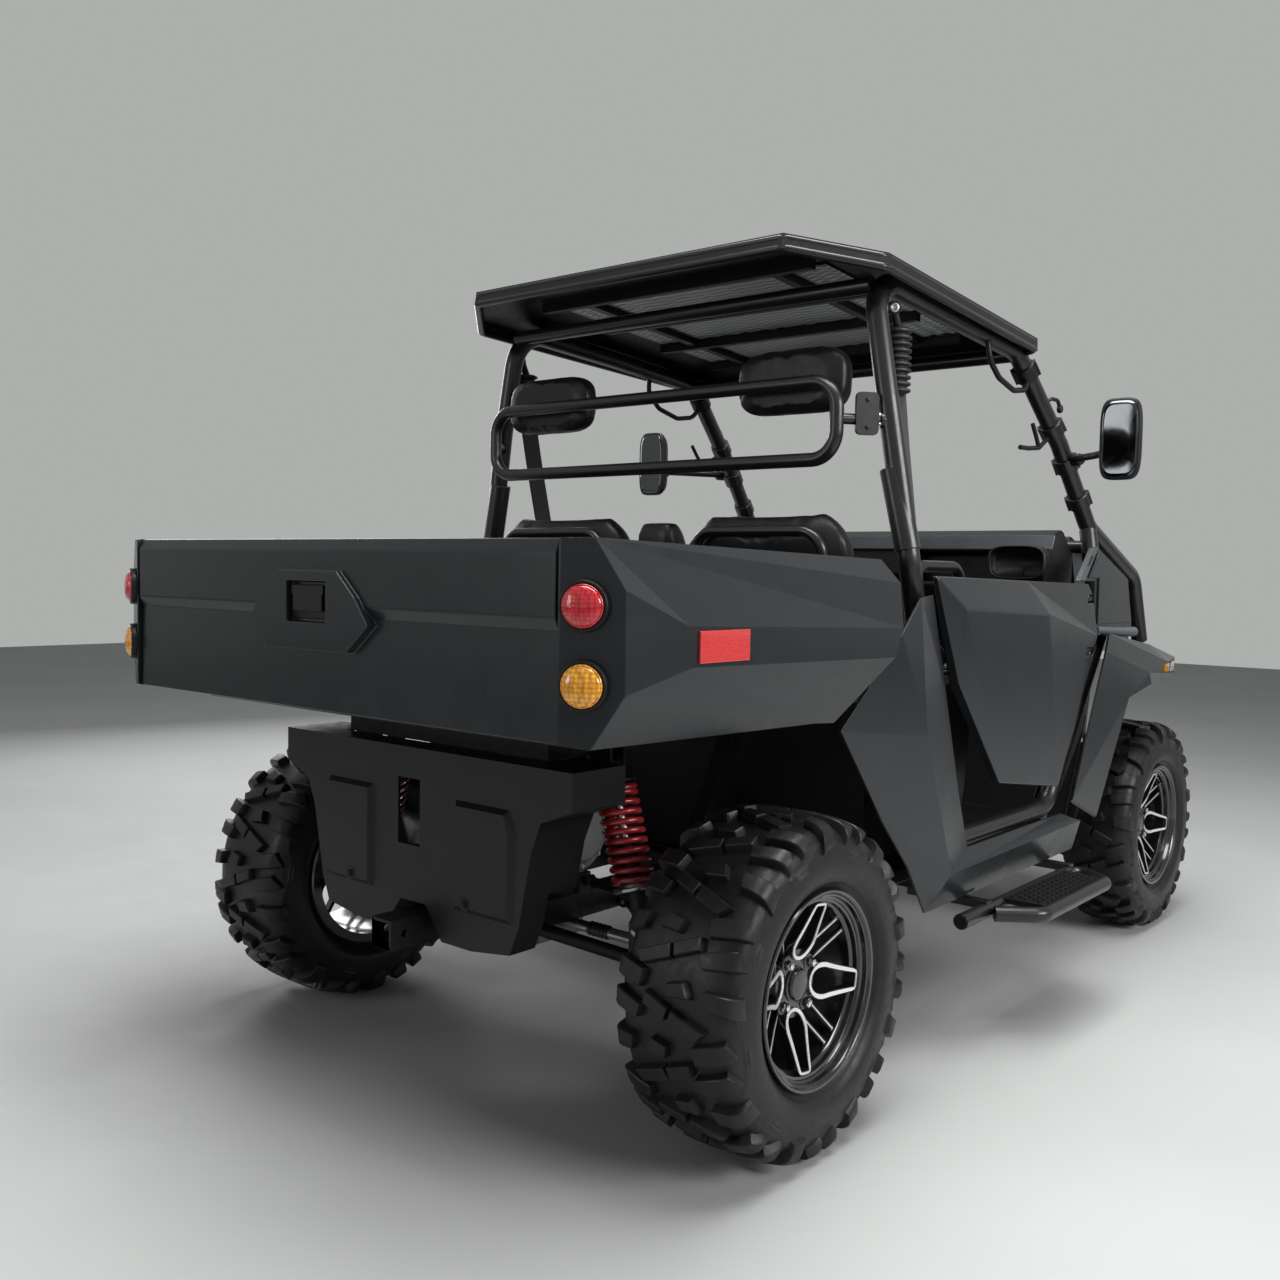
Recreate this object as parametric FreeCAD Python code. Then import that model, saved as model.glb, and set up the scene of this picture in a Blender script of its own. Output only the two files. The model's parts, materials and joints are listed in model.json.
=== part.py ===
import FreeCAD, Part
import math
import os

# Side-by-side utility vehicle with an electric drive, two seats and a tilting load bed.
# Millimetres. X points forward, Y to the left and Z up; the ground is at Z = 0.
# The origin is on the ground, under the middle of the vehicle's box.
# Places are given as (ahead of the rear axle, out from the middle plane, height).
# Places that belong to the front end are given back or ahead of the front axle, FA.
# Round tubes have flat sides and stepped bends, and tyres and rims are many-sided, to keep the facets few.

V = FreeCAD.Vector

# Overall layout
REAR_OVERHANG = 595.0
WHEELBASE = 2080.0
FRONT_OVERHANG = 395.0
LENGTH = REAR_OVERHANG + WHEELBASE + FRONT_OVERHANG
REAR_AXLE_X = REAR_OVERHANG - LENGTH / 2
FA = WHEELBASE

# Wheels and tyres
RIM_LIP_RADIUS = 190.0
SIDEWALL_HEIGHT = 137.0
TYRE_RADIUS = RIM_LIP_RADIUS + SIDEWALL_HEIGHT
AXLE_Z = TYRE_RADIUS
TYRE_SIDES = 16
TREAD_PITCHES = 9
LUG_HEIGHT = 17.0
LUG_SINK = 22.0
LUG_TURN = 9.0
LONG_LUG_SWEEP = 12.0
SIDE_LUG_TURN = 24.0
CROWN_SHARE = 0.30
TREAD_FALL = 0.0072
REAR_TYRE_WIDTH = 268.0
FRONT_TYRE_WIDTH = 221.0
REAR_LIP_Y = 791.0
FRONT_LIP_Y = 744.0
TYRE_BULGE = 15.0
RIM_LIP_HEIGHT = 14.0
RIM_SEAT_RADIUS = RIM_LIP_RADIUS - RIM_LIP_HEIGHT
RIM_WALL = 6.0
RIM_LIP_THICKNESS = 11.0
RIM_SIDES = 16
RIM_DISH = 70.0
SPOKE_PAIRS = 5
FIRST_SPOKE_TURN = 9.0
SPOKE_WIDTH = 13.0
SPOKE_DEPTH = 22.0
THIN_SPOKE_WIDTH = 9.0
THIN_SPOKE_SETBACK = 12.0
HUB_RADIUS = 52.0
CAP_RADIUS = 34.0
CAP_HEIGHT = 24.0
SPINDLE_RADIUS = 17.0
RUNNING_CLEARANCE = 0.05
TYRE_CLEARANCE = 0.2

# Chassis: square steel tubes
RAIL_WIDTH = 50.0
RAIL_BOTTOM = 340.0
RAIL_HEIGHT = 60.0
RAIL_TOP = RAIL_BOTTOM + RAIL_HEIGHT
CAB_RAIL_Y = 270.0
END_RAIL_Y = 140.0
REAR_RAIL_END = -255.0
REAR_CROSS = 440.0
FRONT_CROSS = FA - 340.0
BUMPER_STANDOFF = 145.0
FRONT_RAIL_END = FA + FRONT_OVERHANG - BUMPER_STANDOFF
OUTRIGGERS = (780.0, FA - 790.0)
OUTRIGGER_END_Y = 690.0
BRACE_TUBE = 40.0
BED_RAIL_Y = 290.0
BED_RAIL_BOTTOM = 735.0
BED_RAIL_HEIGHT = 40.0
BED_RAIL_TOP = BED_RAIL_BOTTOM + BED_RAIL_HEIGHT
BED_RAIL_FRONT = 430.0
REST_PADS = (-60.0, 260.0)
TOWER_TOP = 764.0
TOWER_HALF = 306.0
TOWER_TUBE = 40.0

# Hitch receiver
RECEIVER_SIZE = 63.5
RECEIVER_BORE = 51.0
RECEIVER_REAR = -412.0
RECEIVER_Z = 361.0
RECEIVER_PIN_RADIUS = 8.0
RECEIVER_PIN_INSET = 35.0

# Suspension
ARM_TUBE = 30.0
UPPER_ARM_TUBE = 22.0
ARM_ROOT_SPREAD = 150.0
ARM_ROOT_Z = RAIL_BOTTOM + 16.0
UPPER_ROOT_Z = RAIL_TOP + 52.0
REAR_LINK_AHEAD = 20.0
REAR_LINK_ROOT_Z = RAIL_TOP + 25.0
SHAFT_ROOT_Y = 125.0
HUB_INNER_Y = 486.0
HUB_OUTER_Y = 560.0
CARRIER_HALF = 32.0
CARRIER_BOTTOM = AXLE_Z - 65.0
CARRIER_TOP = AXLE_Z + 81.0
KINGPIN_Y = 545.0
KINGPIN_RADIUS = 9.0
KINGPIN_GAP = 4.0
KINGPIN_REACH = 20.0
TIP_PLATE = 28.0
SHOCK_TOP_Y = 336.0
SHOCK_TOP_Z = 715.0
SHOCK_ROD = 10.0
SHOCK_BODY = 19.0
SHOCK_BODY_RISE = 32.0
SHOCK_EYE = 17.0
SHOCK_EYE_HALF = 16.0
EYE_GAP = 0.3
REAR_SHOCK_AHEAD = -95.0
SHOCK_FOOT_Y = 430.0
REAR_FOOT_Z = 392.0
FRONT_FOOT_Z = 372.0
CHEEK = 8.0
SPRING_RADIUS = 37.0
SPRING_COILS = 6
SPRING_SEAT_RISE = 78.0
SPRING_SEAT_DROP = 44.0

# Rear cover
COVER_REAR = -330.0
COVER_FRONT = -180.0
COVER_WALL = 5.0
PAD_RISE = 10.0
BRACE_REAR = REAR_RAIL_END + RAIL_WIDTH / 2 - BRACE_TUBE / 2

# Electric motor
MOTOR_AHEAD = -30.0
MOTOR_Z = 540.0
MOTOR_RADIUS = 90.0

# Cab
FLOOR_THICKNESS = 8.0
FLOOR_TOP = RAIL_TOP + FLOOR_THICKNESS
FLOOR_HALF_WIDTH = 645.0
TOE_TOP = 700.0
CAGE_TUBE = 50.0
CAGE_BEND = 95.0
CAGE_LOW_Y = 675.0
CAGE_SILL_Z = 478.0
CROSS_TUBE = 38.0
DASH_TUBE_AHEAD = FA - 385.0
DASH_TUBE_Z = 1200.0
DASH_HALF = 590.0
GRILLE_SLATS = (575.0, 630.0, 685.0, 740.0, 795.0)
HOOD_WALL = 7.0
HEADLAMP_RISE = 11.0
MARKER_RISE = 7.0
GUARD_TUBE = 32.0
GUARD_AHEAD = 400.0
GUARD_LOW = 1362.0
GUARD_HIGH = 1535.0
PANEL_THICKNESS = 5.0
ROOF_RIM = 34.0
ROOF_SKIN = 8.0

# Seats
SEAT_BASE_GAP = 50.0
SEAT_BASE_HALF = CAGE_LOW_Y - CAGE_TUBE / 2 - SEAT_BASE_GAP
SEAT_BASE_REAR = 470.0
SEAT_BASE_FRONT = 1030.0
SEAT_BASE_WALL = 5.0
SEAT_BASE_TOP = 850.0
SEAT_Y = 330.0
SEAT_WIDTH = 480.0
MIDDLE_SEAT_WIDTH = 150.0
CUSHION_REAR = 590.0
CUSHION_FRONT = 1010.0
CUSHION_THICKNESS = 105.0
BACK_FOOT = 575.0
BACK_LEAN = 70.0
BACK_THICKNESS = 95.0
SEAT_TOP = 1262.0
MIDDLE_SEAT_TOP = 1240.0
HEADREST_Y = 390.0
HEADREST_Z = 1548.0
HEADREST_REAR = 432.0
HEADREST_THICKNESS = 62.0
HOOP_TUBE = 25.0
HIP_TUBE = 28.0

# Load bed
GATE_PLATE_RISE = 12.0
BED_REAR = -REAR_OVERHANG + GATE_PLATE_RISE
BED_FRONT = 320.0
BED_FLOOR_Z = 850.0
BED_FLOOR_THICKNESS = 14.0
BED_BAR_HEIGHT = 33.0
BED_BAR_Z = BED_FLOOR_Z - BED_FLOOR_THICKNESS - BED_BAR_HEIGHT
BED_INNER_Y = 615.0
BED_WALL = 10.0
BED_TOP_Z = 1140.0
BED_PIVOT_AHEAD = -225.0
BED_PIVOT_Z = 795.0
BED_PIVOT_RADIUS = 12.0
TAILGATE_HALF_WIDTH = 646.0
GATE_GAP = 6.0
POD_EDGE_Y = TAILGATE_HALF_WIDTH + 10.0
POD_SLOPE = 0.434
TAILGATE_BOTTOM = 832.0
TAILGATE_TOP = 1158.0
TAILGATE_THICKNESS = 38.0
TAILGATE_SWING_GAP = 14.0
GATE_PIN_AHEAD = BED_REAR + 18.0
GATE_PIN_Z = TAILGATE_BOTTOM + 18.0
GATE_PIN_RADIUS = 7.0
LAMP_RADIUS = 39.0
LAMP_PROUD = 16.0

# Door
DOOR_INNER_Y = 708.0
DOOR_HINGE_AHEAD = FA - 610.0
DOOR_HINGE_Y = 717.0
DOOR_HINGES = (905.0, 1050.0)
HINGE_PIN_RADIUS = 5.0
HINGE_BARREL_RADIUS = 9.0
HINGE_LEAF_HALF = 6.0
HINGE_NOTCH_GAP = 5.0
HINGE_PIN_RISE = 28.0

# Steering
STEER_WHEEL_AHEAD = FA - 900.0
STEER_WHEEL_Y = SEAT_Y
STEER_WHEEL_Z = 1120.0
STEER_TILT = 26.0
STEER_RIM_RADIUS = 170.0
STEER_GRIP_RADIUS = 13.0
COLUMN_RADIUS = 19.0


def at(ahead, side, height):
    """A point from its distance ahead of the rear axle, its distance to the left and its height."""
    return V(REAR_AXLE_X + ahead, side, height)


def box(rear, front, right, left, bottom, top):
    """A block between two places ahead of the rear axle, two sides and two heights."""
    return Part.makeBox(front - rear, left - right, top - bottom, at(rear, right, bottom))


def rod(start, end, radius):
    """A round bar between two points."""
    along = end - start
    return Part.makeCylinder(radius, along.Length, start, along)


def bar(start, end, radius, sides=8):
    """A round bar drawn with flat sides, between two points."""
    return swept([start, end], round_section(2 * radius, sides))


def flat_bore(start, end, pin_radius, sides=8):
    """A flat-sided bore whose flats clear a round pin all round."""
    return bar(start, end, (pin_radius + RUNNING_CLEARANCE) / math.cos(math.pi / sides), sides)


def mirrored(shape):
    """The same shape on the other side of the middle plane."""
    return shape.mirror(V(0, 0, 0), V(0, 1, 0))


def both_sides(shape):
    return [shape, mirrored(shape)]


def fused(shapes):
    """One shape from several that touch or cross."""
    whole = shapes[0].multiFuse(shapes[1:]) if len(shapes) > 1 else shapes[0]
    return whole.removeSplitter()


def save(node, shapes):
    """Write one sub-part; its solids are fused or stand apart."""
    solids = []
    for shape in shapes:
        solids.extend(shape.Solids)
    whole = solids[0] if len(solids) == 1 else Part.makeCompound(solids)
    whole.exportStep(f"parts/{node}.step")


def solid_from_faces(faces):
    solid = Part.makeSolid(Part.makeShell(faces))
    if solid.Volume < 0:
        solid.reverse()
    return solid


def flat_faces(corners):
    """Flat faces on a closed line of corners: one if they lie in a plane, or else a fan of triangles."""
    outline = Part.makePolygon(corners + [corners[0]])
    normal = V(0, 0, 0)
    for a, b in zip(corners[1:], corners[2:]):
        normal += (a - corners[0]).cross(b - corners[0])
    normal.normalize()
    if max(abs((corner - corners[0]).dot(normal)) for corner in corners) < 1e-4:
        return [Part.Face(outline)]
    fan = []
    for a, b in zip(corners[1:], corners[2:]):
        if (a - corners[0]).cross(b - corners[0]).Length > 1e-6:
            fan.append(Part.Face(Part.makePolygon([corners[0], a, b, corners[0]])))
    return fan


def between(first, second):
    """A solid between two outlines with the same number of corners, with flat faces along its sides."""
    faces = flat_faces(first) + flat_faces(second)
    count = len(first)
    for i in range(count):
        j = (i + 1) % count
        faces += flat_faces([first[i], first[j], second[j], second[i]])
    return solid_from_faces(faces)


def skin(corners, facets, inner):
    """A faceted panel: its outer facets and the same facets with each corner moved by the function inner,
    joined round the open edge. Corners are (ahead, side, height)."""
    outer_points = {name: at(*place) for name, place in corners.items()}
    inner_points = {name: inner(point) for name, point in outer_points.items()}
    faces = []
    edges = {}
    for facet in facets:
        faces += flat_faces([outer_points[name] for name in facet])
        faces += flat_faces([inner_points[name] for name in facet])
        for a, b in zip(facet, facet[1:] + facet[:1]):
            key = tuple(sorted((a, b)))
            edges[key] = edges.get(key, 0) + 1
    for (a, b), uses in edges.items():
        if uses == 1:
            faces += flat_faces([outer_points[a], outer_points[b], inner_points[b], inner_points[a]])
    return solid_from_faces(faces)


def moved_in(back, inward, down):
    """Moves a point back, towards the middle plane and down: the inner corner of a panel."""
    return lambda p: V(p.x - back, p.y - math.copysign(inward, p.y), p.z - down)


def onto_side(side):
    """Moves a point sideways onto an upright plane at that distance out: a panel closed by a flat back."""
    return lambda p: V(p.x, side, p.z)


def share(first, second, part):
    """The place at a part of the way from one (ahead, side, height) to another."""
    return tuple(a + (b - a) * part for a, b in zip(first, second))


def largest(shape):
    return max(shape.Solids, key=lambda solid: solid.Volume)


def side_profile(outline, right, left):
    """A plate or block with the given outline of (ahead, height) pairs, between two sides."""
    face = Part.Face(Part.makePolygon([at(a, right, z) for a, z in outline + outline[:1]]))
    return face.extrude(V(0, left - right, 0))


def top_profile(outline, bottom, top):
    """A block with the given outline of (ahead, side) pairs, between two heights."""
    face = Part.Face(Part.makePolygon([at(a, y, bottom) for a, y in outline + outline[:1]]))
    return face.extrude(V(0, 0, top - bottom))


def rear_profile(outline, rear, front):
    """A block with the given outline of (side, height) pairs, between two places ahead of the axle."""
    face = Part.Face(Part.makePolygon([at(rear, y, z) for y, z in outline + outline[:1]]))
    return face.extrude(V(front - rear, 0, 0))


def bent_path(points, bend, steps):
    """The points of a path whose corners are rounded to a bend radius by short runs, so many to a right angle."""
    path = [points[0]]
    for before, corner, after in zip(points, points[1:], points[2:]):
        back = (before - corner).normalize()
        ahead = (after - corner).normalize()
        opening = back.getAngle(ahead)
        reach = bend / math.tan(opening / 2)
        middle = (back + ahead).normalize()
        centre = corner + middle * (bend / math.sin(opening / 2))
        start = corner + back * reach - centre
        turn = math.pi - opening
        normal = start.cross(corner + ahead * reach - centre).normalize()
        across = normal.cross(start)
        runs = max(1, round(steps * turn / (math.pi / 2)))
        for i in range(runs + 1):
            angle = turn * i / runs
            path.append(centre + start * math.cos(angle) + across * math.sin(angle))
    path.append(points[-1])
    return path


def swept(path, section):
    """A bar along a path with mitred joints. The section is a list of (side, up) offsets at its start."""
    first = (path[1] - path[0]).normalize()
    side = first.cross(V(0, 0, 1))
    if side.Length < 0.1:
        side = first.cross(V(0, 1, 0))
    side.normalize()
    up = side.cross(first).normalize()
    rings = [[path[0] + side * a + up * b for a, b in section]]
    for i in range(1, len(path)):
        along = (path[i] - path[i - 1]).normalize()
        onward = (path[i + 1] - path[i]).normalize() if i + 1 < len(path) else along
        mitre = (along + onward).normalize()
        rings.append([p + along * ((path[i] - p).dot(mitre) / along.dot(mitre)) for p in rings[-1]])
    faces = [Part.Face(Part.makePolygon(ring + ring[:1])) for ring in (rings[0], rings[-1])]
    count = len(section)
    for lower, upper in zip(rings, rings[1:]):
        for i in range(count):
            j = (i + 1) % count
            faces += flat_faces([lower[i], lower[j], upper[j], upper[i]])
    return solid_from_faces(faces)


def round_section(diameter, sides):
    """A many-sided section whose corners lie on the circle."""
    radius = diameter / 2
    turns = [2 * math.pi * (i + 0.5) / sides for i in range(sides)]
    return [(radius * math.cos(t), radius * math.sin(t)) for t in turns]


def tube(points, diameter, bend=0.0, sides=8, steps=2):
    """A round tube through points, with bends."""
    path = bent_path(points, bend, steps) if bend else points
    return swept(path, round_section(diameter, sides))


def square_tube(points, width, height):
    """A square or rectangular bar through points; its width is level at the start."""
    w, h = width / 2, height / 2
    return swept(points, [(-w, -h), (w, -h), (w, h), (-w, h)])


def many_sided_ring(profile, sides, start_turn=0.0):
    """A ring round the Y axis from a closed profile of (radius, side) pairs."""
    rings = []
    for i in range(sides):
        turn = start_turn + 2 * math.pi * i / sides
        rings.append([V(r * math.cos(turn), y, r * math.sin(turn)) for r, y in profile])
    faces = []
    count = len(profile)
    for i in range(sides):
        here, there = rings[i], rings[(i + 1) % sides]
        for j in range(count):
            k = (j + 1) % count
            faces += flat_faces([here[j], here[k], there[k], there[j]])
    return solid_from_faces(faces)


def tread_radius(side, width):
    """The outer radius of the tread at a distance from the tyre's middle plane: a flat crown, then a fall."""
    past = max(abs(side) - CROWN_SHARE * width, 0.0)
    return TYRE_RADIUS - past * past * TREAD_FALL


def lug(start, width, places):
    """One tread block from its four places of (turn in degrees, side)."""
    outer = []
    for turn, side in places:
        angle = math.radians(start + turn)
        top = tread_radius(side, width)
        outer.append(V(top * math.cos(angle), side, top * math.sin(angle)))
    middle = math.radians(start + sum(turn for turn, side in places) / len(places))
    down = V(-math.cos(middle), 0, -math.sin(middle)) * (LUG_HEIGHT + LUG_SINK)
    return between(outer, [corner + down for corner in outer])


def tyre(width):
    """A tyre round the Y axis: a many-sided carcass with long angled lugs and shoulder lugs on each side."""
    half = width / 2
    seat = (RIM_SEAT_RADIUS + TYRE_CLEARANCE) / math.cos(math.pi / TYRE_SIDES)
    bead = half - TYRE_BULGE - RIM_LIP_THICKNESS - TYRE_CLEARANCE
    shoulder = half - 14.0
    shoulder_radius = tread_radius(half - 4.0, width) - LUG_HEIGHT
    carcass = [
        (seat, -bead), (RIM_LIP_RADIUS + 4, -bead), (RIM_LIP_RADIUS + 40, -half), (shoulder_radius, -shoulder),
        (TYRE_RADIUS - LUG_HEIGHT, 0), (shoulder_radius, shoulder), (RIM_LIP_RADIUS + 40, half),
        (RIM_LIP_RADIUS + 4, bead), (seat, bead),
    ]
    body = many_sided_ring(carcass, TYRE_SIDES, -math.pi / 2)
    pitch = 360.0 / TREAD_PITCHES
    root, reach, edge = 4.0, 0.42 * width, half
    inner = 0.24 * width
    long_lug = [(0, root), (LUG_TURN, root), (LUG_TURN + LONG_LUG_SWEEP, reach), (LONG_LUG_SWEEP, reach)]
    side_lug = [(SIDE_LUG_TURN, inner), (SIDE_LUG_TURN + LUG_TURN, inner),
                (SIDE_LUG_TURN + LUG_TURN + 2, edge), (SIDE_LUG_TURN + 2, edge)]
    lugs = []
    for i in range(TREAD_PITCHES):
        for sign in (1, -1):
            start = -90.0 + i * pitch + (pitch / 2 if sign < 0 else 0.0)
            for outline in (long_lug, side_lug):
                lugs.append(lug(start, width, [(turn, sign * y) for turn, y in outline]))
    return body.multiFuse(lugs)


def spoke(face_y, turn, width, depth, inner_y, outer_y):
    """A flat bar from the hub to the barrel; inner_y and outer_y are its edge's distances from the spoke line."""
    inner, outer = HUB_RADIUS - 8, RIM_SEAT_RADIUS - RIM_WALL / 2 - 2
    outline = [(inner, inner_y - width), (inner, inner_y), (outer, outer_y), (outer, outer_y - width)]
    face = Part.Face(Part.makePolygon([V(a, face_y, b) for a, b in outline + outline[:1]]))
    flat = face.extrude(V(0, -depth, 0))
    flat.rotate(V(0, 0, 0), V(0, 1, 0), turn)
    return flat


def rim(width):
    """A wheel rim round the Y axis: barrel with two lips, hub, spoke pairs and recessed single spokes."""
    lip = width / 2 - TYRE_BULGE
    back = lip - RIM_LIP_THICKNESS
    inside = RIM_SEAT_RADIUS - RIM_WALL
    barrel = many_sided_ring([
        (inside, -lip), (RIM_LIP_RADIUS, -lip), (RIM_SEAT_RADIUS, -back), (RIM_SEAT_RADIUS, back),
        (RIM_LIP_RADIUS, lip), (inside, lip),
    ], RIM_SIDES)
    face_y = lip - RIM_DISH
    hub = bar(V(0, face_y - SPOKE_DEPTH - 10, 0), V(0, face_y, 0), HUB_RADIUS, 10)
    cap = bar(V(0, face_y, 0), V(0, face_y + CAP_HEIGHT, 0), CAP_RADIUS, 10)
    spokes = []
    for i in range(SPOKE_PAIRS):
        turn = FIRST_SPOKE_TURN + 360.0 * i / SPOKE_PAIRS
        spokes.append(spoke(face_y, turn, SPOKE_WIDTH, SPOKE_DEPTH, 20.0, 32.0))
        spokes.append(spoke(face_y, turn, SPOKE_WIDTH, SPOKE_DEPTH, SPOKE_WIDTH - 20.0, SPOKE_WIDTH - 32.0))
        half = THIN_SPOKE_WIDTH / 2
        spokes.append(spoke(face_y - THIN_SPOKE_SETBACK, turn + 180.0 / SPOKE_PAIRS, THIN_SPOKE_WIDTH,
                            SPOKE_DEPTH - THIN_SPOKE_SETBACK, half, half))
    bore = flat_bore(V(0, face_y - SPOKE_DEPTH - 20, 0), V(0, face_y, 0), SPINDLE_RADIUS, 10)
    return barrel.multiFuse([hub, cap] + spokes).cut(bore)


HOOD_HALF = {
    "wind": (FA - 380, 575, 1232), "bend": (FA + 50, 575, 1105), "skirt_rear": (FA - 340, 595, 958),
    "skirt_front": (FA + 110, 590, 958), "nose": (FA + 250, 380, 1000), "cheek": (FA + 265, 430, 900),
    "chin": (FA + 300, 360, 830), "base": (FA + 255, 340, 560), "flank": (FA + 200, 430, 560),
}


def hood_underside(ahead):
    """The height of the bonnet's inner face over the front axle."""
    wind, bend = HOOD_HALF["wind"], HOOD_HALF["bend"]
    fall = (wind[2] - bend[2]) / (bend[0] - wind[0])
    return wind[2] - (ahead + HOOD_WALL - wind[0]) * fall - HOOD_WALL


def wheels():
    """The four tyres and rims, from the front and rear widths."""
    for end, ahead, width, lip_y in (
        ("front", FA, FRONT_TYRE_WIDTH, FRONT_LIP_Y),
        ("rear", 0.0, REAR_TYRE_WIDTH, REAR_LIP_Y),
    ):
        centre = at(ahead, lip_y + TYRE_BULGE - width / 2, AXLE_Z)
        for piece, shape in (("tyre", tyre(width)), ("rim", rim(width))):
            left = shape.translated(centre)
            save(f"{piece}_{end}_left", [left])
            save(f"{piece}_{end}_right", [mirrored(left)])


def end_frame(first, last):
    """The two narrow rails that carry the suspension at one end."""
    half = RAIL_WIDTH / 2
    return both_sides(box(first, last, END_RAIL_Y - half, END_RAIL_Y + half, RAIL_BOTTOM, RAIL_TOP))


def cross_member(ahead, reach):
    """A square tube across the rails that reaches so far out on each side."""
    half = RAIL_WIDTH / 2
    return box(ahead - half, ahead + half, -reach, reach, RAIL_BOTTOM, RAIL_TOP)


def chassis_frame():
    """The cab's ladder frame, the two end frames, the bed's rails and the hitch receiver, joined at flat faces."""
    half = RAIL_WIDTH / 2
    ladder = both_sides(box(REAR_CROSS - half, FRONT_CROSS + half, CAB_RAIL_Y - half, CAB_RAIL_Y + half,
                            RAIL_BOTTOM, RAIL_TOP))
    ladder += [cross_member(ahead, CAB_RAIL_Y) for ahead in (REAR_CROSS, FRONT_CROSS)]
    ladder += [cross_member(ahead, OUTRIGGER_END_Y) for ahead in OUTRIGGERS]
    rear = end_frame(REAR_RAIL_END, REAR_CROSS - half) + [cross_member(REAR_RAIL_END + half, END_RAIL_Y)]
    rear += arm_lugs(REAR_LINK_AHEAD, 20.0, REAR_LINK_ROOT_Z + 15)
    front = end_frame(FRONT_CROSS + half, FRONT_RAIL_END) + [cross_member(FRONT_RAIL_END - half, END_RAIL_Y)]
    for ahead in (FA - ARM_ROOT_SPREAD, FA + ARM_ROOT_SPREAD):
        front += arm_lugs(ahead, 14.0, UPPER_ROOT_Z + 12)
    cab_frame, rear_frame = fused(ladder), fused(rear)
    save("chassis_frame", [cab_frame])
    save("rear_frame", [rear_frame])
    save("front_frame", [fused(front + front_tower())])
    save("bed_rails", [largest(fused(bed_rails()).cut(rear_frame).cut(cab_frame))])
    save("hitch_receiver", [receiver()])


def bed_rails():
    """The two rails under the bed on braces from the end frame, with rests for the bed's bars and its pivot."""
    half = RAIL_WIDTH / 2
    pieces = both_sides(box(REAR_RAIL_END, BED_RAIL_FRONT, BED_RAIL_Y - half, BED_RAIL_Y + half,
                            BED_RAIL_BOTTOM, BED_RAIL_TOP))
    for ahead in (REAR_RAIL_END + half, BED_RAIL_FRONT - half):
        pieces.append(box(ahead - half, ahead + half, -BED_RAIL_Y, BED_RAIL_Y, BED_RAIL_BOTTOM, BED_RAIL_TOP))
        brace = [at(ahead, END_RAIL_Y, RAIL_TOP - half), at(ahead, BED_RAIL_Y, BED_RAIL_BOTTOM + half)]
        pieces += both_sides(square_tube(brace, BRACE_TUBE, BRACE_TUBE))
    for ahead in REST_PADS:
        pieces += both_sides(box(ahead - 18, ahead + 18, BED_RAIL_Y - 15, BED_RAIL_Y + 15, BED_RAIL_TOP, BED_BAR_Z))
    pieces += both_sides(shock_cheeks(REAR_SHOCK_AHEAD, BED_RAIL_Y + 10, BED_RAIL_TOP))
    return pieces + both_sides(bed_pivot_ear())


def front_tower():
    """Two leaning uprights and a cross bar over the front axle, with the dampers' upper brackets."""
    half = TOWER_TUBE / 2
    upright = [at(FA, END_RAIL_Y, RAIL_TOP - half), at(FA, TOWER_HALF - 30, TOWER_TOP - half)]
    pieces = both_sides(square_tube(upright, TOWER_TUBE, TOWER_TUBE))
    pieces.append(box(FA - half, FA + half, -TOWER_HALF, TOWER_HALF, TOWER_TOP - TOWER_TUBE, TOWER_TOP))
    pieces += both_sides(shock_cheeks(FA, TOWER_HALF - 10, TOWER_TOP))
    start, end = FA - 15, FA + 15
    post = [(start, TOWER_TOP), (end, TOWER_TOP), (end, hood_underside(end)), (start, hood_underside(start))]
    return pieces + both_sides(side_profile(post, 185, 215))


def shock_cheeks(ahead, inner_y, top):
    """Two plates that hold a damper's upper eye between them."""
    plates = []
    for start in (ahead - SHOCK_EYE_HALF - CHEEK - EYE_GAP, ahead + SHOCK_EYE_HALF + EYE_GAP):
        plates.append(box(start, start + CHEEK, inner_y, SHOCK_TOP_Y + 20, SHOCK_TOP_Z - 17, top))
    return Part.makeCompound(plates)


def arm_lugs(ahead, half, top):
    """Upright lugs on both end rails for an upper arm."""
    outer = END_RAIL_Y + RAIL_WIDTH / 2
    return both_sides(box(ahead - half, ahead + half, outer - 15, outer, RAIL_TOP - 5, top))


def bed_pivot_ear():
    """An upright plate on the bed rail with the hole for the bed's pivot pin."""
    plate = box(BED_PIVOT_AHEAD - 28, BED_PIVOT_AHEAD + 28, BED_RAIL_Y - 5, BED_RAIL_Y + 5,
                BED_RAIL_TOP - 4, BED_PIVOT_Z + 22)
    hole = flat_bore(at(BED_PIVOT_AHEAD, BED_RAIL_Y - 10, BED_PIVOT_Z),
                     at(BED_PIVOT_AHEAD, BED_RAIL_Y + 10, BED_PIVOT_Z), BED_PIVOT_RADIUS)
    return plate.cut(hole)


def receiver():
    """The square hitch receiver behind the rear cross member, with its socket and its cross pin hole."""
    half = RECEIVER_SIZE / 2
    outer = box(RECEIVER_REAR, REAR_RAIL_END, -half, half, RECEIVER_Z - half, RECEIVER_Z + half)
    half = RECEIVER_BORE / 2
    socket = box(RECEIVER_REAR - 1, REAR_RAIL_END - 10, -half, half, RECEIVER_Z - half, RECEIVER_Z + half)
    pin = Part.makeCylinder(RECEIVER_PIN_RADIUS, 2 * RECEIVER_SIZE,
                            at(RECEIVER_REAR + RECEIVER_PIN_INSET, -RECEIVER_SIZE, RECEIVER_Z), V(0, 1, 0))
    return outer.cut(socket).cut(pin)


def floor_pan():
    """The cab floor and the sloping toe board."""
    outline = [(455, RAIL_TOP), (FA - 520, RAIL_TOP), (FA - 380, TOE_TOP), (FA - 390, TOE_TOP),
               (FA - 528, FLOOR_TOP), (455, FLOOR_TOP)]
    save("floor_pan", [side_profile(outline, -FLOOR_HALF_WIDTH, FLOOR_HALF_WIDTH)])


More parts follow.
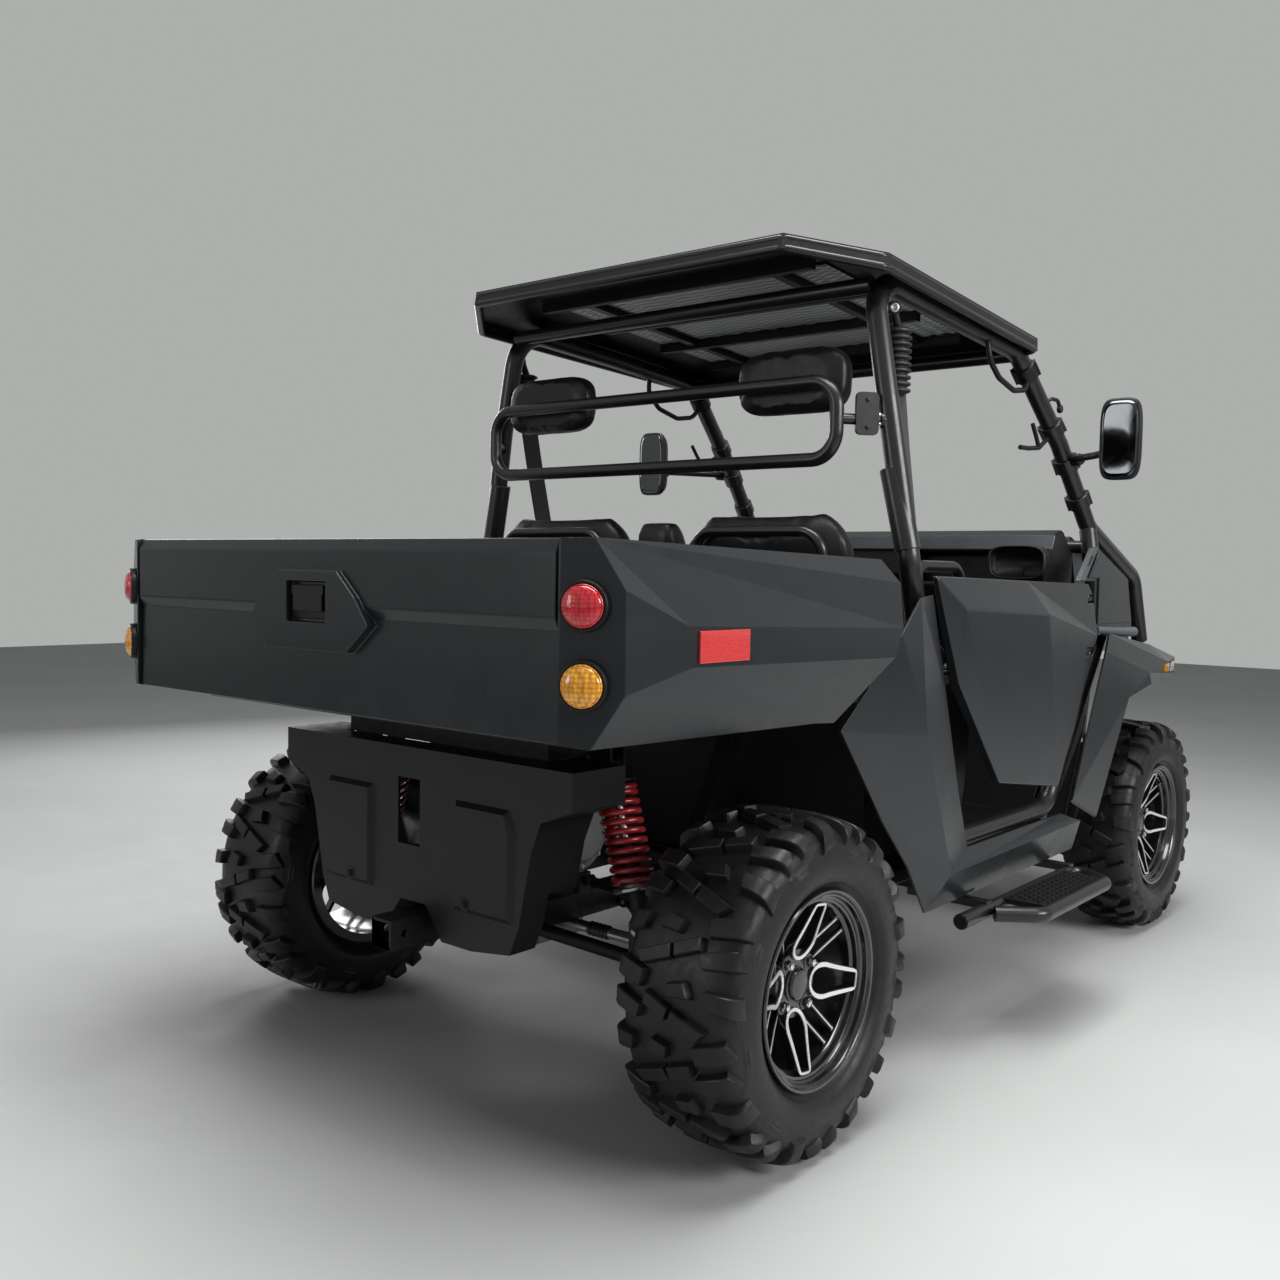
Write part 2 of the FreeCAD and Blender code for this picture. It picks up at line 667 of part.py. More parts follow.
def seat_base():
    """The moulded box that the seats stand on; it is hollow and open below."""
    def outline(wall):
        rear, front, top = SEAT_BASE_REAR + wall, SEAT_BASE_FRONT - wall, SEAT_BASE_TOP - wall
        return [(rear, FLOOR_TOP), (front - 70, FLOOR_TOP), (front, top - 20), (front - 20 + wall, top),
                (rear, top - 25)]
    shell = side_profile(outline(0), -SEAT_BASE_HALF, SEAT_BASE_HALF)
    inner = SEAT_BASE_HALF - SEAT_BASE_WALL
    hollow = side_profile(outline(SEAT_BASE_WALL), -inner, inner)
    save("seat_base", [shell.cut(hollow)])


def battery_box():
    """The battery pack, one plain block on the floor under the seats."""
    save("battery_box", [box(500, 930, -380, 380, FLOOR_TOP, FLOOR_TOP + 290)])


def drive_motor():
    """The electric motor on its reduction gear, between the rear rails."""
    inner = END_RAIL_Y - RAIL_WIDTH / 2
    gear = box(-120, 90, -95, 95, RAIL_BOTTOM - 60, MOTOR_Z - 40)
    motor = bar(at(MOTOR_AHEAD, -200, MOTOR_Z), at(MOTOR_AHEAD, 120, MOTOR_Z), MOTOR_RADIUS, 12)
    cap = bar(at(MOTOR_AHEAD, -212, MOTOR_Z), at(MOTOR_AHEAD, -200, MOTOR_Z), MOTOR_RADIUS - 22, 12)
    bars = [box(ahead - 15, ahead + 15, -inner, inner, RAIL_BOTTOM + 10, RAIL_BOTTOM + 40) for ahead in (-80, 50)]
    stub = bar(at(0, -SHAFT_ROOT_Y, AXLE_Z), at(0, SHAFT_ROOT_Y, AXLE_Z), 30)
    whole = fused([gear, motor, cap, stub] + bars)
    rails = Part.makeCompound(end_frame(REAR_RAIL_END, REAR_CROSS - RAIL_WIDTH / 2))
    save("drive_motor", [largest(whole.cut(rails))])


def rear_cover():
    """The moulded cover behind the drive: wide at the top, waisted below, with a slot, pads and bosses."""
    half = [(450, 735), (450, 660), (370, 630), (345, 570), (320, 450), (315, 420), (290, 360), (180, 345),
            (90, 345), (40, 412)]
    outline = [(y, z) for y, z in half] + [(-y, z) for y, z in reversed(half)]
    face = Part.Face(Part.makePolygon([at(COVER_REAR, y, z) for y, z in outline + outline[:1]]))
    hollow = face.makeOffset2D(-COVER_WALL, 2).extrude(V(COVER_FRONT - COVER_REAR, 0, 0))
    shell = face.extrude(V(COVER_FRONT - COVER_REAR, 0, 0)).cut(hollow.translated(V(COVER_WALL, 0, 0)))
    open_front = box(REAR_RAIL_END - 5, COVER_FRONT + 1, -325, 325, 300, 740)
    slot = box(COVER_REAR - 20, COVER_REAR + 22, -20, 50, 530, 670)
    pads = []
    for sign in (1, -1):
        outer = [(300, 420), (306, 600), (285, 645), (130, 645), (130, 420)]
        inner = [(286, 432), (292, 598), (278, 634), (142, 634), (142, 432)]
        rings = [[at(x, sign * y, z) for y, z in ring]
                 for x, ring in ((COVER_REAR + 1, outer), (COVER_REAR - PAD_RISE, inner))]
        pads.append(between(rings[0], rings[1]))
    bosses = both_sides(box(COVER_REAR + 1, BRACE_REAR, 150, 190, 420, 460))
    save("rear_cover", [fused([shell.cut(open_front)] + pads + bosses).cut(slot)])


def cushion(side, width):
    """One seat cushion as a simple closed block with its front edge rounded down."""
    low, high = SEAT_BASE_TOP + 1, SEAT_BASE_TOP + CUSHION_THICKNESS
    rear, front = CUSHION_REAR, CUSHION_FRONT
    outline = [(rear, low), (front - 30, low), (front, low + 20), (front + 15, high - 40), (front - 25, high),
               (rear, high - 12)]
    return side_profile(outline, side - width / 2, side + width / 2)


def backrest(side, width, top):
    """One backrest, leaning back, with its top corners cut."""
    half = width / 2
    bottom = SEAT_BASE_TOP + 13
    front = [(side - half + 15, bottom), (side + half - 15, bottom), (side + half, top - 110),
             (side + half - 60, top), (side - half + 60, top), (side - half, top - 110)]

    def ring(offset):
        return [at(BACK_FOOT + offset - BACK_LEAN * (z - bottom) / (top - bottom), y, z) for y, z in front]
    return between(ring(0), ring(-BACK_THICKNESS))


def headrest(side):
    """A pad in front of the top bar of the rear guard loop."""
    outline = [(-155, -40), (-120, -82), (120, -82), (155, -40), (155, 45), (120, 84), (-120, 84), (-155, 45)]
    outline = [(side + y, HEADREST_Z + z) for y, z in outline]
    return rear_profile(outline, HEADREST_REAR, HEADREST_REAR + HEADREST_THICKNESS)


def seats():
    """Cushions, and backrests with the headrest pads."""
    places = (
        # middle, width, top
        (SEAT_Y, SEAT_WIDTH, SEAT_TOP), (-SEAT_Y, SEAT_WIDTH, SEAT_TOP), (0, MIDDLE_SEAT_WIDTH, MIDDLE_SEAT_TOP),
    )
    backs = [backrest(side, width, top) for side, width, top in places]
    backs += [headrest(side) for side in (HEADREST_Y, -HEADREST_Y)]
    save("seat_cushions", [cushion(side, width) for side, width, top in places])
    save("seat_backs", backs)


def seat_tubes():
    """The tube hoops behind the backrests and the hip bars beside the seats, on feet against the seat base."""
    pieces = []
    low = SEAT_BASE_TOP - 60
    for side in (SEAT_Y, -SEAT_Y):
        hoop = tube([at(454, side - 190, low), at(440, side - 190, 1000), at(404, side - 175, 1205),
                     at(404, side + 175, 1205), at(440, side + 190, 1000), at(454, side + 190, low)],
                    HOOP_TUBE, 55, 6)
        feet = [box(448, SEAT_BASE_REAR, side + y - 14, side + y + 14, low - 14, low + 16) for y in (-190, 190)]
        pieces.append(fused([hoop] + feet))
    hip_y = SEAT_BASE_HALF + 18
    low = SEAT_BASE_TOP - 120
    hip = tube([at(640, hip_y, low), at(640, hip_y, 1130), at(860, hip_y, 1130), at(960, hip_y, 960),
                at(960, hip_y, low)], HIP_TUBE, 50, 6)
    feet = [box(ahead - 12, ahead + 12, SEAT_BASE_HALF, hip_y, low, low + 30) for ahead in (640, 960)]
    pieces += both_sides(fused([hip] + feet))
    save("seat_tubes", pieces)


def cage():
    """The cab's tube cage: door loops, pillars, roof rails, cross tubes, feet, clamps and door hinge leaves."""
    sill, roof_start, roof_end = (1000, CAGE_LOW_Y, CAGE_SILL_Z), (900, 560, 1752), (1300, 560, 1722)
    rear_loop = [sill, (735, CAGE_LOW_Y, CAGE_SILL_Z), (600, CAGE_LOW_Y, 830), (508, CAGE_LOW_Y, 1140),
                 (498, 615, 1500), (502, 565, 1778), roof_start]
    knee, screen_foot, screen_top = (FA - 390, CAGE_LOW_Y, 950), (FA - 345, 612, 1262), (FA - 535, 592, 1490)
    front_loop = [sill, (FA - 760, CAGE_LOW_Y, CAGE_SILL_Z), knee, share(knee, screen_foot, 0.97)]
    pillar = [roof_start, roof_end, screen_top, screen_foot, (FA + 70, 612, 1112), (FA + 160, 612, 905)]
    pieces = []
    for path, bend in ((rear_loop, CAGE_BEND), (front_loop, CAGE_BEND), (pillar, 85.0)):
        pieces += both_sides(tube([at(*place) for place in path], CAGE_TUBE, bend))
    for ahead in OUTRIGGERS:
        pieces += both_sides(box(ahead - 22, ahead + 22, FLOOR_HALF_WIDTH + 7, CAGE_LOW_Y + 13,
                                 RAIL_TOP, CAGE_SILL_Z))
    for ahead, y, z in ((502, 566, 1756), (1300, 560, 1714), (DASH_TUBE_AHEAD, 618, DASH_TUBE_Z)):
        pieces.append(tube([at(ahead, -y, z), at(ahead, y, z)], CROSS_TUBE, sides=6))
    for first, second, start, end in (
        (roof_end, screen_top, 0.76, 0.88), (screen_top, screen_foot, 0.15, 0.30),
        (screen_top, screen_foot, 0.60, 0.74),
    ):
        clamp = bar(at(*share(first, second, start)), at(*share(first, second, end)), CAGE_TUBE / 2 + 8, 6)
        pieces += both_sides(clamp)
    for height in DOOR_HINGES:
        pieces += both_sides(hinge_leaf(height, sill, knee, screen_foot))
    return fused(pieces)


def hinge_leaf(height, sill, knee, screen_foot):
    """A flat arm from the door loop back to the door's hinge axis, with the upright pin on its end."""
    lower = (FA - 760, CAGE_LOW_Y, CAGE_SILL_Z)
    first, second = (lower, knee) if height < knee[2] else (knee, screen_foot)
    root = share(first, second, (height - first[2]) / (second[2] - first[2]))
    centre = at(DOOR_HINGE_AHEAD, DOOR_HINGE_Y, height)
    arm = square_tube([at(*root), centre], 2 * HINGE_LEAF_HALF, 2 * HINGE_LEAF_HALF)
    leaf = bar(centre - V(0, 0, HINGE_LEAF_HALF), centre + V(0, 0, HINGE_LEAF_HALF), HINGE_BARREL_RADIUS)
    pin = rod(centre, centre + V(0, 0, HINGE_PIN_RISE), HINGE_PIN_RADIUS)
    return fused([arm, leaf, pin])


def rear_guard(cage_shape):
    """The guard loop behind the headrests, one closed tube held by two stubs, with the headrests' brackets."""
    corners = ((0, GUARD_LOW), (545, GUARD_LOW), (545, GUARD_HIGH), (0, GUARD_HIGH))
    half_loop = tube([at(GUARD_AHEAD, side, height) for side, height in corners], GUARD_TUBE, 62)
    stub = bar(at(GUARD_AHEAD, 545, 1450), at(499, 623, 1450), 13, 6)
    bracket = box(GUARD_AHEAD, HEADREST_REAR, HEADREST_Y - 22, HEADREST_Y + 22, GUARD_HIGH - 12, GUARD_HIGH + 10)
    pieces = []
    for piece in (half_loop, stub, bracket):
        pieces += both_sides(piece)
    save("rear_guard", [largest(fused(pieces).cut(cage_shape))])


def roof():
    """The roof moulding: a panel that falls to the front, a deep rim, ribs below and rests on the cage."""
    half = {
        "rear": (270, 480, 1832), "side": (430, 640, 1800), "front": (1290, 615, 1752), "tip": (1350, 520, 1748),
        "ridge": (520, 470, 1840), "fall": (1270, 450, 1784),
    }
    corners = {}
    for name, (ahead, side, height) in half.items():
        corners[f"{name}_left"] = (ahead, side, height)
        corners[f"{name}_right"] = (ahead, -side, height)
    facets = [["rear_left", "rear_right", "ridge_right", "ridge_left"],
              ["ridge_left", "ridge_right", "fall_right", "fall_left"],
              ["fall_left", "fall_right", "tip_right", "tip_left"]]
    for side in ("left", "right"):
        for facet in (("rear", "ridge", "side"), ("ridge", "fall", "front", "side"), ("fall", "tip", "front")):
            facets.append([f"{name}_{side}" for name in facet])
    panel = skin(corners, facets, moved_in(0, 0, ROOF_SKIN))
    border = [half[name] for name in ("tip", "front", "side", "rear")]
    border += [(ahead, -side, height) for ahead, side, height in reversed(border)]
    rim_path = [at(ahead, side, height - ROOF_RIM / 2) for ahead, side, height in border]
    pieces = [panel, square_tube(rim_path, 14, ROOF_RIM)]
    tip = half["tip"]
    pieces.append(box(tip[0] - 12, tip[0], -tip[1], tip[1], tip[2] - ROOF_RIM, tip[2] - 1))

    def underside(ahead):
        ridge, fall = half["ridge"], half["fall"]
        return ridge[2] - 2 - (ahead - ridge[0]) * (ridge[2] - fall[2]) / (fall[0] - ridge[0])
    for ahead in (470, 730, 980, 1230):
        top = min(underside(ahead), underside(520))
        pieces.append(box(ahead - 11, ahead + 11, -430, 430, top - 34, top))
    for side in (300, -300):
        rails = [at(470, side, underside(520) - 14), at(520, side, underside(520) - 14),
                 at(1230, side, underside(1230) - 14)]
        pieces.append(square_tube(rails, 24, 24))
    for ahead, top in ((640, 1806), (1200, 1758)):
        pieces += both_sides(box(ahead - 20, ahead + 20, 546, 574, top - 50, top))
    return fused(pieces)


def side_panel():
    """The quarter panel behind the door and the sill below it, one faceted moulding with two brackets."""
    corners = {
        "seam_top": (352, 748, 985), "seam_low": (158, 722, 796), "arch_mid": (335, 722, 590),
        "arch_low": (455, 722, 470), "toe_rear": (560, 712, 345), "toe_front": (FA - 640, 712, 350),
        "ridge_rear": (615, 748, 430), "ridge_front": (FA - 680, 748, 440), "sill_rear": (770, 712, 462),
        "sill_front": (FA - 735, 712, 462), "post_low": (706, 716, 600), "post_mid": (610, 722, 850),
        "post_top": (535, 722, 1065), "knee": (470, 752, 760), "shoulder": (430, 748, 1060),
    }
    facets = [
        ["seam_low", "seam_top", "knee"], ["seam_low", "knee", "arch_mid"], ["arch_mid", "knee", "ridge_rear"],
        ["arch_mid", "ridge_rear", "arch_low"], ["arch_low", "ridge_rear", "toe_rear"],
        ["seam_top", "shoulder", "knee"], ["shoulder", "post_top", "post_mid", "knee"],
        ["knee", "post_mid", "post_low", "ridge_rear"], ["ridge_rear", "post_low", "sill_rear"],
        ["ridge_rear", "sill_rear", "sill_front", "ridge_front"],
        ["toe_rear", "ridge_rear", "ridge_front", "toe_front"],
    ]
    panel = skin(corners, facets, moved_in(0, PANEL_THICKNESS, 0))
    brackets = [box(ahead - 25, ahead + 25, OUTRIGGER_END_Y, 717, 352, 372) for ahead in OUTRIGGERS]
    return fused([panel] + brackets)


FENDER_CORNERS = {
    "foot_rear": (FA - 708, 735, 500), "foot_front": (FA - 520, 735, 430), "knee_rear": (FA - 520, 745, 900),
    "knee_front": (FA - 360, 760, 760), "top_rear": (FA - 470, 735, 950), "top_mid": (FA - 90, 725, 905),
    "lip_mid": (FA - 200, 765, 825), "lip_front": (FA - 20, 762, 850), "tip": (FA + 250, 700, 850),
    "tip_low": (FA + 250, 700, 795), "lip_low": (FA - 180, 765, 790), "inner_rear": (FA - 350, 560, 946),
    "inner_mid": (FA - 60, 560, 915), "inner_front": (FA + 215, 450, 868),
}


def front_fender(cage_shape):
    """The front wheel's flared moulding: rear leg, top, nose, the roll along the cowl and a bracket."""
    facets = [
        ["foot_rear", "foot_front", "knee_front", "knee_rear"],
        ["knee_rear", "knee_front", "lip_mid", "top_rear"],
        ["knee_front", "lip_low", "lip_mid"],
        ["top_rear", "lip_mid", "lip_front", "top_mid"],
        ["lip_mid", "lip_low", "tip_low", "tip", "lip_front"],
        ["top_mid", "lip_front", "tip"],
        ["top_rear", "top_mid", "inner_mid", "inner_rear"],
        ["top_mid", "tip", "inner_front", "inner_mid"],
    ]
    panel = skin(FENDER_CORNERS, facets, moved_in(0, 7, 7))
    roll = bar(at(FA - 320, 622, 940), at(FA - 20, 618, 920), 22, 6)
    bracket = box(FA - 590, FA - 560, CAGE_LOW_Y + 10, 733, 700, 730)
    return largest(fused([panel, roll, bracket]).cut(cage_shape))


def hood(cage_shape):
    """The bonnet with its cowl sides, lamp face and open lower front with grille slats."""
    corners = {}
    for name, (ahead, side, height) in HOOD_HALF.items():
        corners[f"{name}_left"] = (ahead, side, height)
        corners[f"{name}_right"] = (ahead, -side, height)
    facets = [["wind_left", "bend_left", "bend_right", "wind_right"],
              ["bend_left", "nose_left", "nose_right", "bend_right"],
              ["nose_left", "chin_left", "chin_right", "nose_right"]]
    for side in ("left", "right"):
        for facet in (
            ("wind", "skirt_rear", "skirt_front", "bend"), ("bend", "skirt_front", "cheek", "nose"),
            ("nose", "cheek", "chin"), ("cheek", "flank", "base", "chin"),
        ):
            facets.append([f"{name}_{side}" for name in facet])
    panel = skin(corners, facets, moved_in(HOOD_WALL, HOOD_WALL, HOOD_WALL))
    chin, base = HOOD_HALF["chin"], HOOD_HALF["base"]
    pieces = [panel]
    for height in GRILLE_SLATS:
        ahead, side, z = share(base, chin, (height - base[2]) / (chin[2] - base[2]))
        pieces.append(box(ahead - 34, ahead - 6, -side + 2, side - 2, height - 7, height + 7))
    return largest(fused(pieces).cut(cage_shape))


def headlamps():
    """Two lens blocks on the hood's lamp face."""
    nose, chin = HOOD_HALF["nose"], HOOD_HALF["chin"]
    out = V(nose[2] - chin[2], 0, chin[0] - nose[0]).normalize() * HEADLAMP_RISE
    ring = []
    for part, side in ((0.25, 350), (0.75, 335), (0.75, 235), (0.25, 215)):
        ahead, _, height = share(nose, chin, part)
        ring.append(at(ahead, side, height))
    return between(ring, [corner + out for corner in ring])


def marker_lamp(start, end, low, high):
    """A thin lens on the fender's flank, between two places ahead."""
    first, last = FENDER_CORNERS["lip_mid"], FENDER_CORNERS["tip"]
    slope = (first[1] - last[1]) / (last[0] - first[0])
    out = V(slope, 1, 0).normalize() * MARKER_RISE
    ring = []
    for ahead, height in ((start, low), (end, low), (end, high), (start, high)):
        ring.append(at(ahead, first[1] - slope * (ahead - first[0]), height))
    return between(ring, [corner + out for corner in ring])


def front_bumper():
    """The round-tube guard ahead of the grille, welded to end plates on the rails."""
    reach = FA + FRONT_OVERHANG - CROSS_TUBE / 2
    loop = tube([at(FRONT_RAIL_END - 30, END_RAIL_Y, 370), at(reach, 250, 400), at(reach, 300, 740),
                 at(reach, -300, 740), at(reach, -250, 400), at(FRONT_RAIL_END - 30, -END_RAIL_Y, 370)],
                CROSS_TUBE, 60)
    cross = tube([at(reach, -262, 480), at(reach, 262, 480)], CROSS_TUBE)
    trim = box(FRONT_RAIL_END - 90, FRONT_RAIL_END, -400, 400, 300, 800)
    return fused([loop, cross]).cut(trim)


def step():
    """A side step: a bent loop of round bar with a tread plate, under the frame's outriggers."""
    end = FA - 750
    loop = tube([at(640, 762, 318), at(end, 762, 318), at(end - 90, 878, 318), at(830, 878, 318),
                 at(760, 790, 318)], 40, 38)
    plate = top_profile([(850, 770), (end - 90, 770), (end - 115, 870), (850, 870)], 322, RAIL_BOTTOM)
    arms = [box(ahead - 16, ahead + 16, 560, 768, 322, RAIL_BOTTOM) for ahead in OUTRIGGERS]
    return fused([loop, plate] + arms)


def mirror_piece(cage_shape):
    """A rear-view mirror: clamp arm from the windscreen pillar and a rounded head."""
    glass = [(760, 1400), (775, 1372), (850, 1372), (866, 1400), (870, 1560), (852, 1592), (778, 1592), (760, 1560)]
    back = [(778, 1418), (788, 1398), (838, 1398), (848, 1418), (850, 1545), (838, 1566), (788, 1566), (778, 1545)]
    head = between([at(FA - 685, y, z) for y, z in glass], [at(FA - 635, y, z) for y, z in back])
    arm = bar(at(FA - 505, 598, 1448), at(FA - 640, 790, 1450), 11, 6)
    return largest(fused([head, arm]).cut(cage_shape))


def seat_belts(cage_shape):
    """Per side: a bellows cover on a bolt through the pillar, and flat webbing down to a reel on the seat base."""
    profile = [(9, 0)]
    for i in range(6):
        profile += [(22, (i + 0.1) * 23.0), (15, (i + 0.75) * 23.0)]
    profile += [(9, 140.0)]
    bellows = many_sided_ring(profile, 6)
    bellows.Placement = FreeCAD.Placement(at(558, 598, 1512), FreeCAD.Rotation(V(0, 1, 0), V(0, 0, 1)))
    bolt = bar(at(500, 598, 1640), at(566, 598, 1640), 9, 6)
    reel = box(562, 614, SEAT_BASE_HALF, SEAT_BASE_HALF + 36, 560, 640)
    strap = square_tube([at(588, SEAT_BASE_HALF + 16, 630), at(558, 600, 1520)], 44, 3)
    return largest(fused([bellows, bolt, reel, strap]).cut(cage_shape))


def dash(cage_shape):
    """The dashboard moulding across the cab, with a shelf, seated on its cross tube."""
    outline = [(FA - 575, 1010), (FA - 520, 905), (FA - 440, 905), (FA - 390, 1100), (FA - 390, 1180),
               (FA - 470, 1250), (FA - 550, 1225), (FA - 600, 1120)]
    whole = side_profile(outline, -DASH_HALF, DASH_HALF)
    shelf = box(FA - 610, FA - 480, -520, -140, 1090, 1180)
    return largest(whole.cut(shelf).cut(cage_shape))


def steering_axis():
    """The unit vector up the steering column, towards the driver."""
    tilt = math.radians(STEER_TILT)
    return V(-math.cos(tilt), 0, math.sin(tilt))


def steering_wheel():
    """A three-spoke steering wheel, turned about its column."""
    grip = STEER_GRIP_RADIUS
    section = [(STEER_RIM_RADIUS + grip * math.cos(t), grip * math.sin(t))
               for t in [math.pi * i / 3 for i in range(6)]]
    ring = many_sided_ring(section, 14)
    hub = rod(V(0, -26, 0), V(0, 4, 0), 38)
    spokes = []
    for turn in (90, 210, 330):
        arm = Part.makeBox(STEER_RIM_RADIUS - 20, 8, 26, V(18, -16, -13))
        arm.rotate(V(0, 0, 0), V(0, 1, 0), turn)
        spokes.append(arm)
    wheel = fused([ring, hub] + spokes)
    wheel.rotate(V(0, 0, 0), V(0, 0, 1), 90)
    wheel.rotate(V(0, 0, 0), V(0, 1, 0), STEER_TILT)
    return wheel.translated(at(STEER_WHEEL_AHEAD, STEER_WHEEL_Y, STEER_WHEEL_Z))


def steering_column(dash_shape):
    """The column from inside the dashboard to just behind the wheel's hub."""
    centre = at(STEER_WHEEL_AHEAD, STEER_WHEEL_Y, STEER_WHEEL_Z)
    along = steering_axis()
    start = centre - along * 27
    return largest(bar(start - along * 425, start, COLUMN_RADIUS).cut(dash_shape))


def lower_arms(ahead, tip_y, tip_z):
    """The lower arm's two bars from the sleeves on the rail's face, with their ends meeting at the tip."""
    outer = END_RAIL_Y + RAIL_WIDTH / 2
    pieces = []
    for spread in (-ARM_ROOT_SPREAD, ARM_ROOT_SPREAD):
        root = at(ahead + spread, outer + 15, ARM_ROOT_Z)
        pieces.append(bar(root, at(ahead, tip_y, tip_z), ARM_TUBE / 2, 6))
        pieces.append(box(ahead + spread - 22, ahead + spread + 22, outer, outer + 30,
                          RAIL_BOTTOM + 1, RAIL_BOTTOM + 31))
    return pieces


def foot_cheeks(ahead, foot_z, plate_low):
    """Two plates that hold a damper's lower eye between them, on a flat plate."""
    plates = []
    for start in (ahead - SHOCK_EYE_HALF - CHEEK - EYE_GAP, ahead + SHOCK_EYE_HALF + EYE_GAP):
        plates.append(box(start, start + CHEEK, SHOCK_FOOT_Y - 18, SHOCK_FOOT_Y + 18, plate_low, foot_z + 17))
    return plates


def rear_arms():
    """The left rear lower arm with the damper's foot, and the upper link, all ending on the hub carrier."""
    tip_z = CARRIER_BOTTOM + 20
    pieces = lower_arms(0.0, HUB_INNER_Y + 20, tip_z)
    pieces.append(box(REAR_SHOCK_AHEAD - 26, 26, SHOCK_FOOT_Y - 25, SHOCK_FOOT_Y + 20, tip_z - 6, tip_z + 14))
    pieces += foot_cheeks(REAR_SHOCK_AHEAD, REAR_FOOT_Z, tip_z - 6)
    beyond = box(-200, 200, HUB_INNER_Y, HUB_INNER_Y + 90, 200, 480)
    outer = END_RAIL_Y + RAIL_WIDTH / 2
    link = bar(at(REAR_LINK_AHEAD, outer + 11, REAR_LINK_ROOT_Z), at(REAR_LINK_AHEAD, HUB_INNER_Y + 20, 392),
               UPPER_ARM_TUBE / 2, 6)
    sleeve = box(REAR_LINK_AHEAD - 14, REAR_LINK_AHEAD + 14, outer, outer + 22,
                 REAR_LINK_ROOT_Z - 11, REAR_LINK_ROOT_Z + 11)
    return [fused(pieces).cut(beyond), fused([link, sleeve]).cut(beyond)]


def front_arms():
    """The left front lower and upper arms, with plates below and above the knuckle for its kingpin."""
    outer = END_RAIL_Y + RAIL_WIDTH / 2
    low_top, high_low = CARRIER_BOTTOM - KINGPIN_GAP, CARRIER_TOP + KINGPIN_GAP
    tip = (FA - TIP_PLATE, FA + TIP_PLATE, KINGPIN_Y - 65, KINGPIN_Y + 15)
    lower = lower_arms(FA, KINGPIN_Y - 20, low_top - 12)
    lower = [piece.cut(box(FA - 60, FA + 60, HUB_INNER_Y - 25, HUB_OUTER_Y + 20, low_top, low_top + 60))
             for piece in lower]
    lower.append(box(*tip, low_top - 24, low_top))
    foot_low = low_top - 6
    lower.append(box(FA - 26, FA + 26, SHOCK_FOOT_Y - 25, HUB_INNER_Y - 16, foot_low, foot_low + 20))
    lower += foot_cheeks(FA, FRONT_FOOT_Z, foot_low)
    upper = [box(*tip, high_low, high_low + 18)]
    for spread in (-ARM_ROOT_SPREAD, ARM_ROOT_SPREAD):
        root = at(FA + spread, outer + 11, UPPER_ROOT_Z)
        upper.append(bar(root, at(FA, KINGPIN_Y - 8, high_low + 9), UPPER_ARM_TUBE / 2 - 2, 6))
        upper.append(box(FA + spread - 14, FA + spread + 14, outer, outer + 22, UPPER_ROOT_Z - 11, UPPER_ROOT_Z + 11))
    holes = flat_bore(at(FA, KINGPIN_Y, 150), at(FA, KINGPIN_Y, 550), KINGPIN_RADIUS)
    knuckle_room = box(FA - 60, FA + 60, HUB_INNER_Y - 25, HUB_OUTER_Y + 20, low_top, high_low)
    return [fused(lower).cut(holes), fused(upper).cut(knuckle_room).cut(holes)]


def hub_carrier(ahead, lip_y):
    """A hub carrier with its flange and the round spindle into the wheel."""
    face = lip_y - RIM_DISH
    carrier = box(ahead - CARRIER_HALF, ahead + CARRIER_HALF, HUB_INNER_Y, HUB_OUTER_Y, CARRIER_BOTTOM, CARRIER_TOP)
    flange = bar(at(ahead, HUB_OUTER_Y, AXLE_Z), at(ahead, HUB_OUTER_Y + 14, AXLE_Z), 60, 10)
    spindle = rod(at(ahead, HUB_OUTER_Y, AXLE_Z), at(ahead, face - 6, AXLE_Z), SPINDLE_RADIUS)
    return [carrier, flange, spindle]


def shock(ahead, foot_z):
    """A damper: body below, rod above, with the spring round it."""
    foot = at(ahead, SHOCK_FOOT_Y, foot_z)
    top = at(ahead, SHOCK_TOP_Y, SHOCK_TOP_Z)
    along = (top - foot).normalize()
    length = (top - foot).Length
    body = bar(foot + along * SHOCK_BODY_RISE, foot + along * (0.55 * length), SHOCK_BODY, 6)
    stem = bar(foot, top, SHOCK_ROD, 4)
    eyes = [bar(p - V(SHOCK_EYE_HALF, 0, 0), p + V(SHOCK_EYE_HALF, 0, 0), SHOCK_EYE, 6) for p in (foot, top)]
    seats = [bar(foot + along * place, foot + along * (place + 8), SPRING_RADIUS)
             for place in (SPRING_SEAT_RISE, length - SPRING_SEAT_DROP)]
    damper = fused([body, stem] + eyes + seats)
    start = SPRING_SEAT_RISE + 8
    coil_length = length - SPRING_SEAT_DROP - start
    pitch = coil_length / SPRING_COILS
    inner = (SHOCK_BODY + 1) / math.cos(math.pi / 6)
    profile = [(inner, 0)]
    for i in range(SPRING_COILS):
        profile.append((SPRING_RADIUS, (i + 0.5) * pitch))
        if i < SPRING_COILS - 1:
            profile.append((SPRING_RADIUS - 10, (i + 1.0) * pitch))
    profile.append((inner, coil_length))
    coil = many_sided_ring(profile, 6)
    coil.Placement = FreeCAD.Placement(foot + along * start, FreeCAD.Rotation(V(0, 1, 0), along))
    return damper, coil


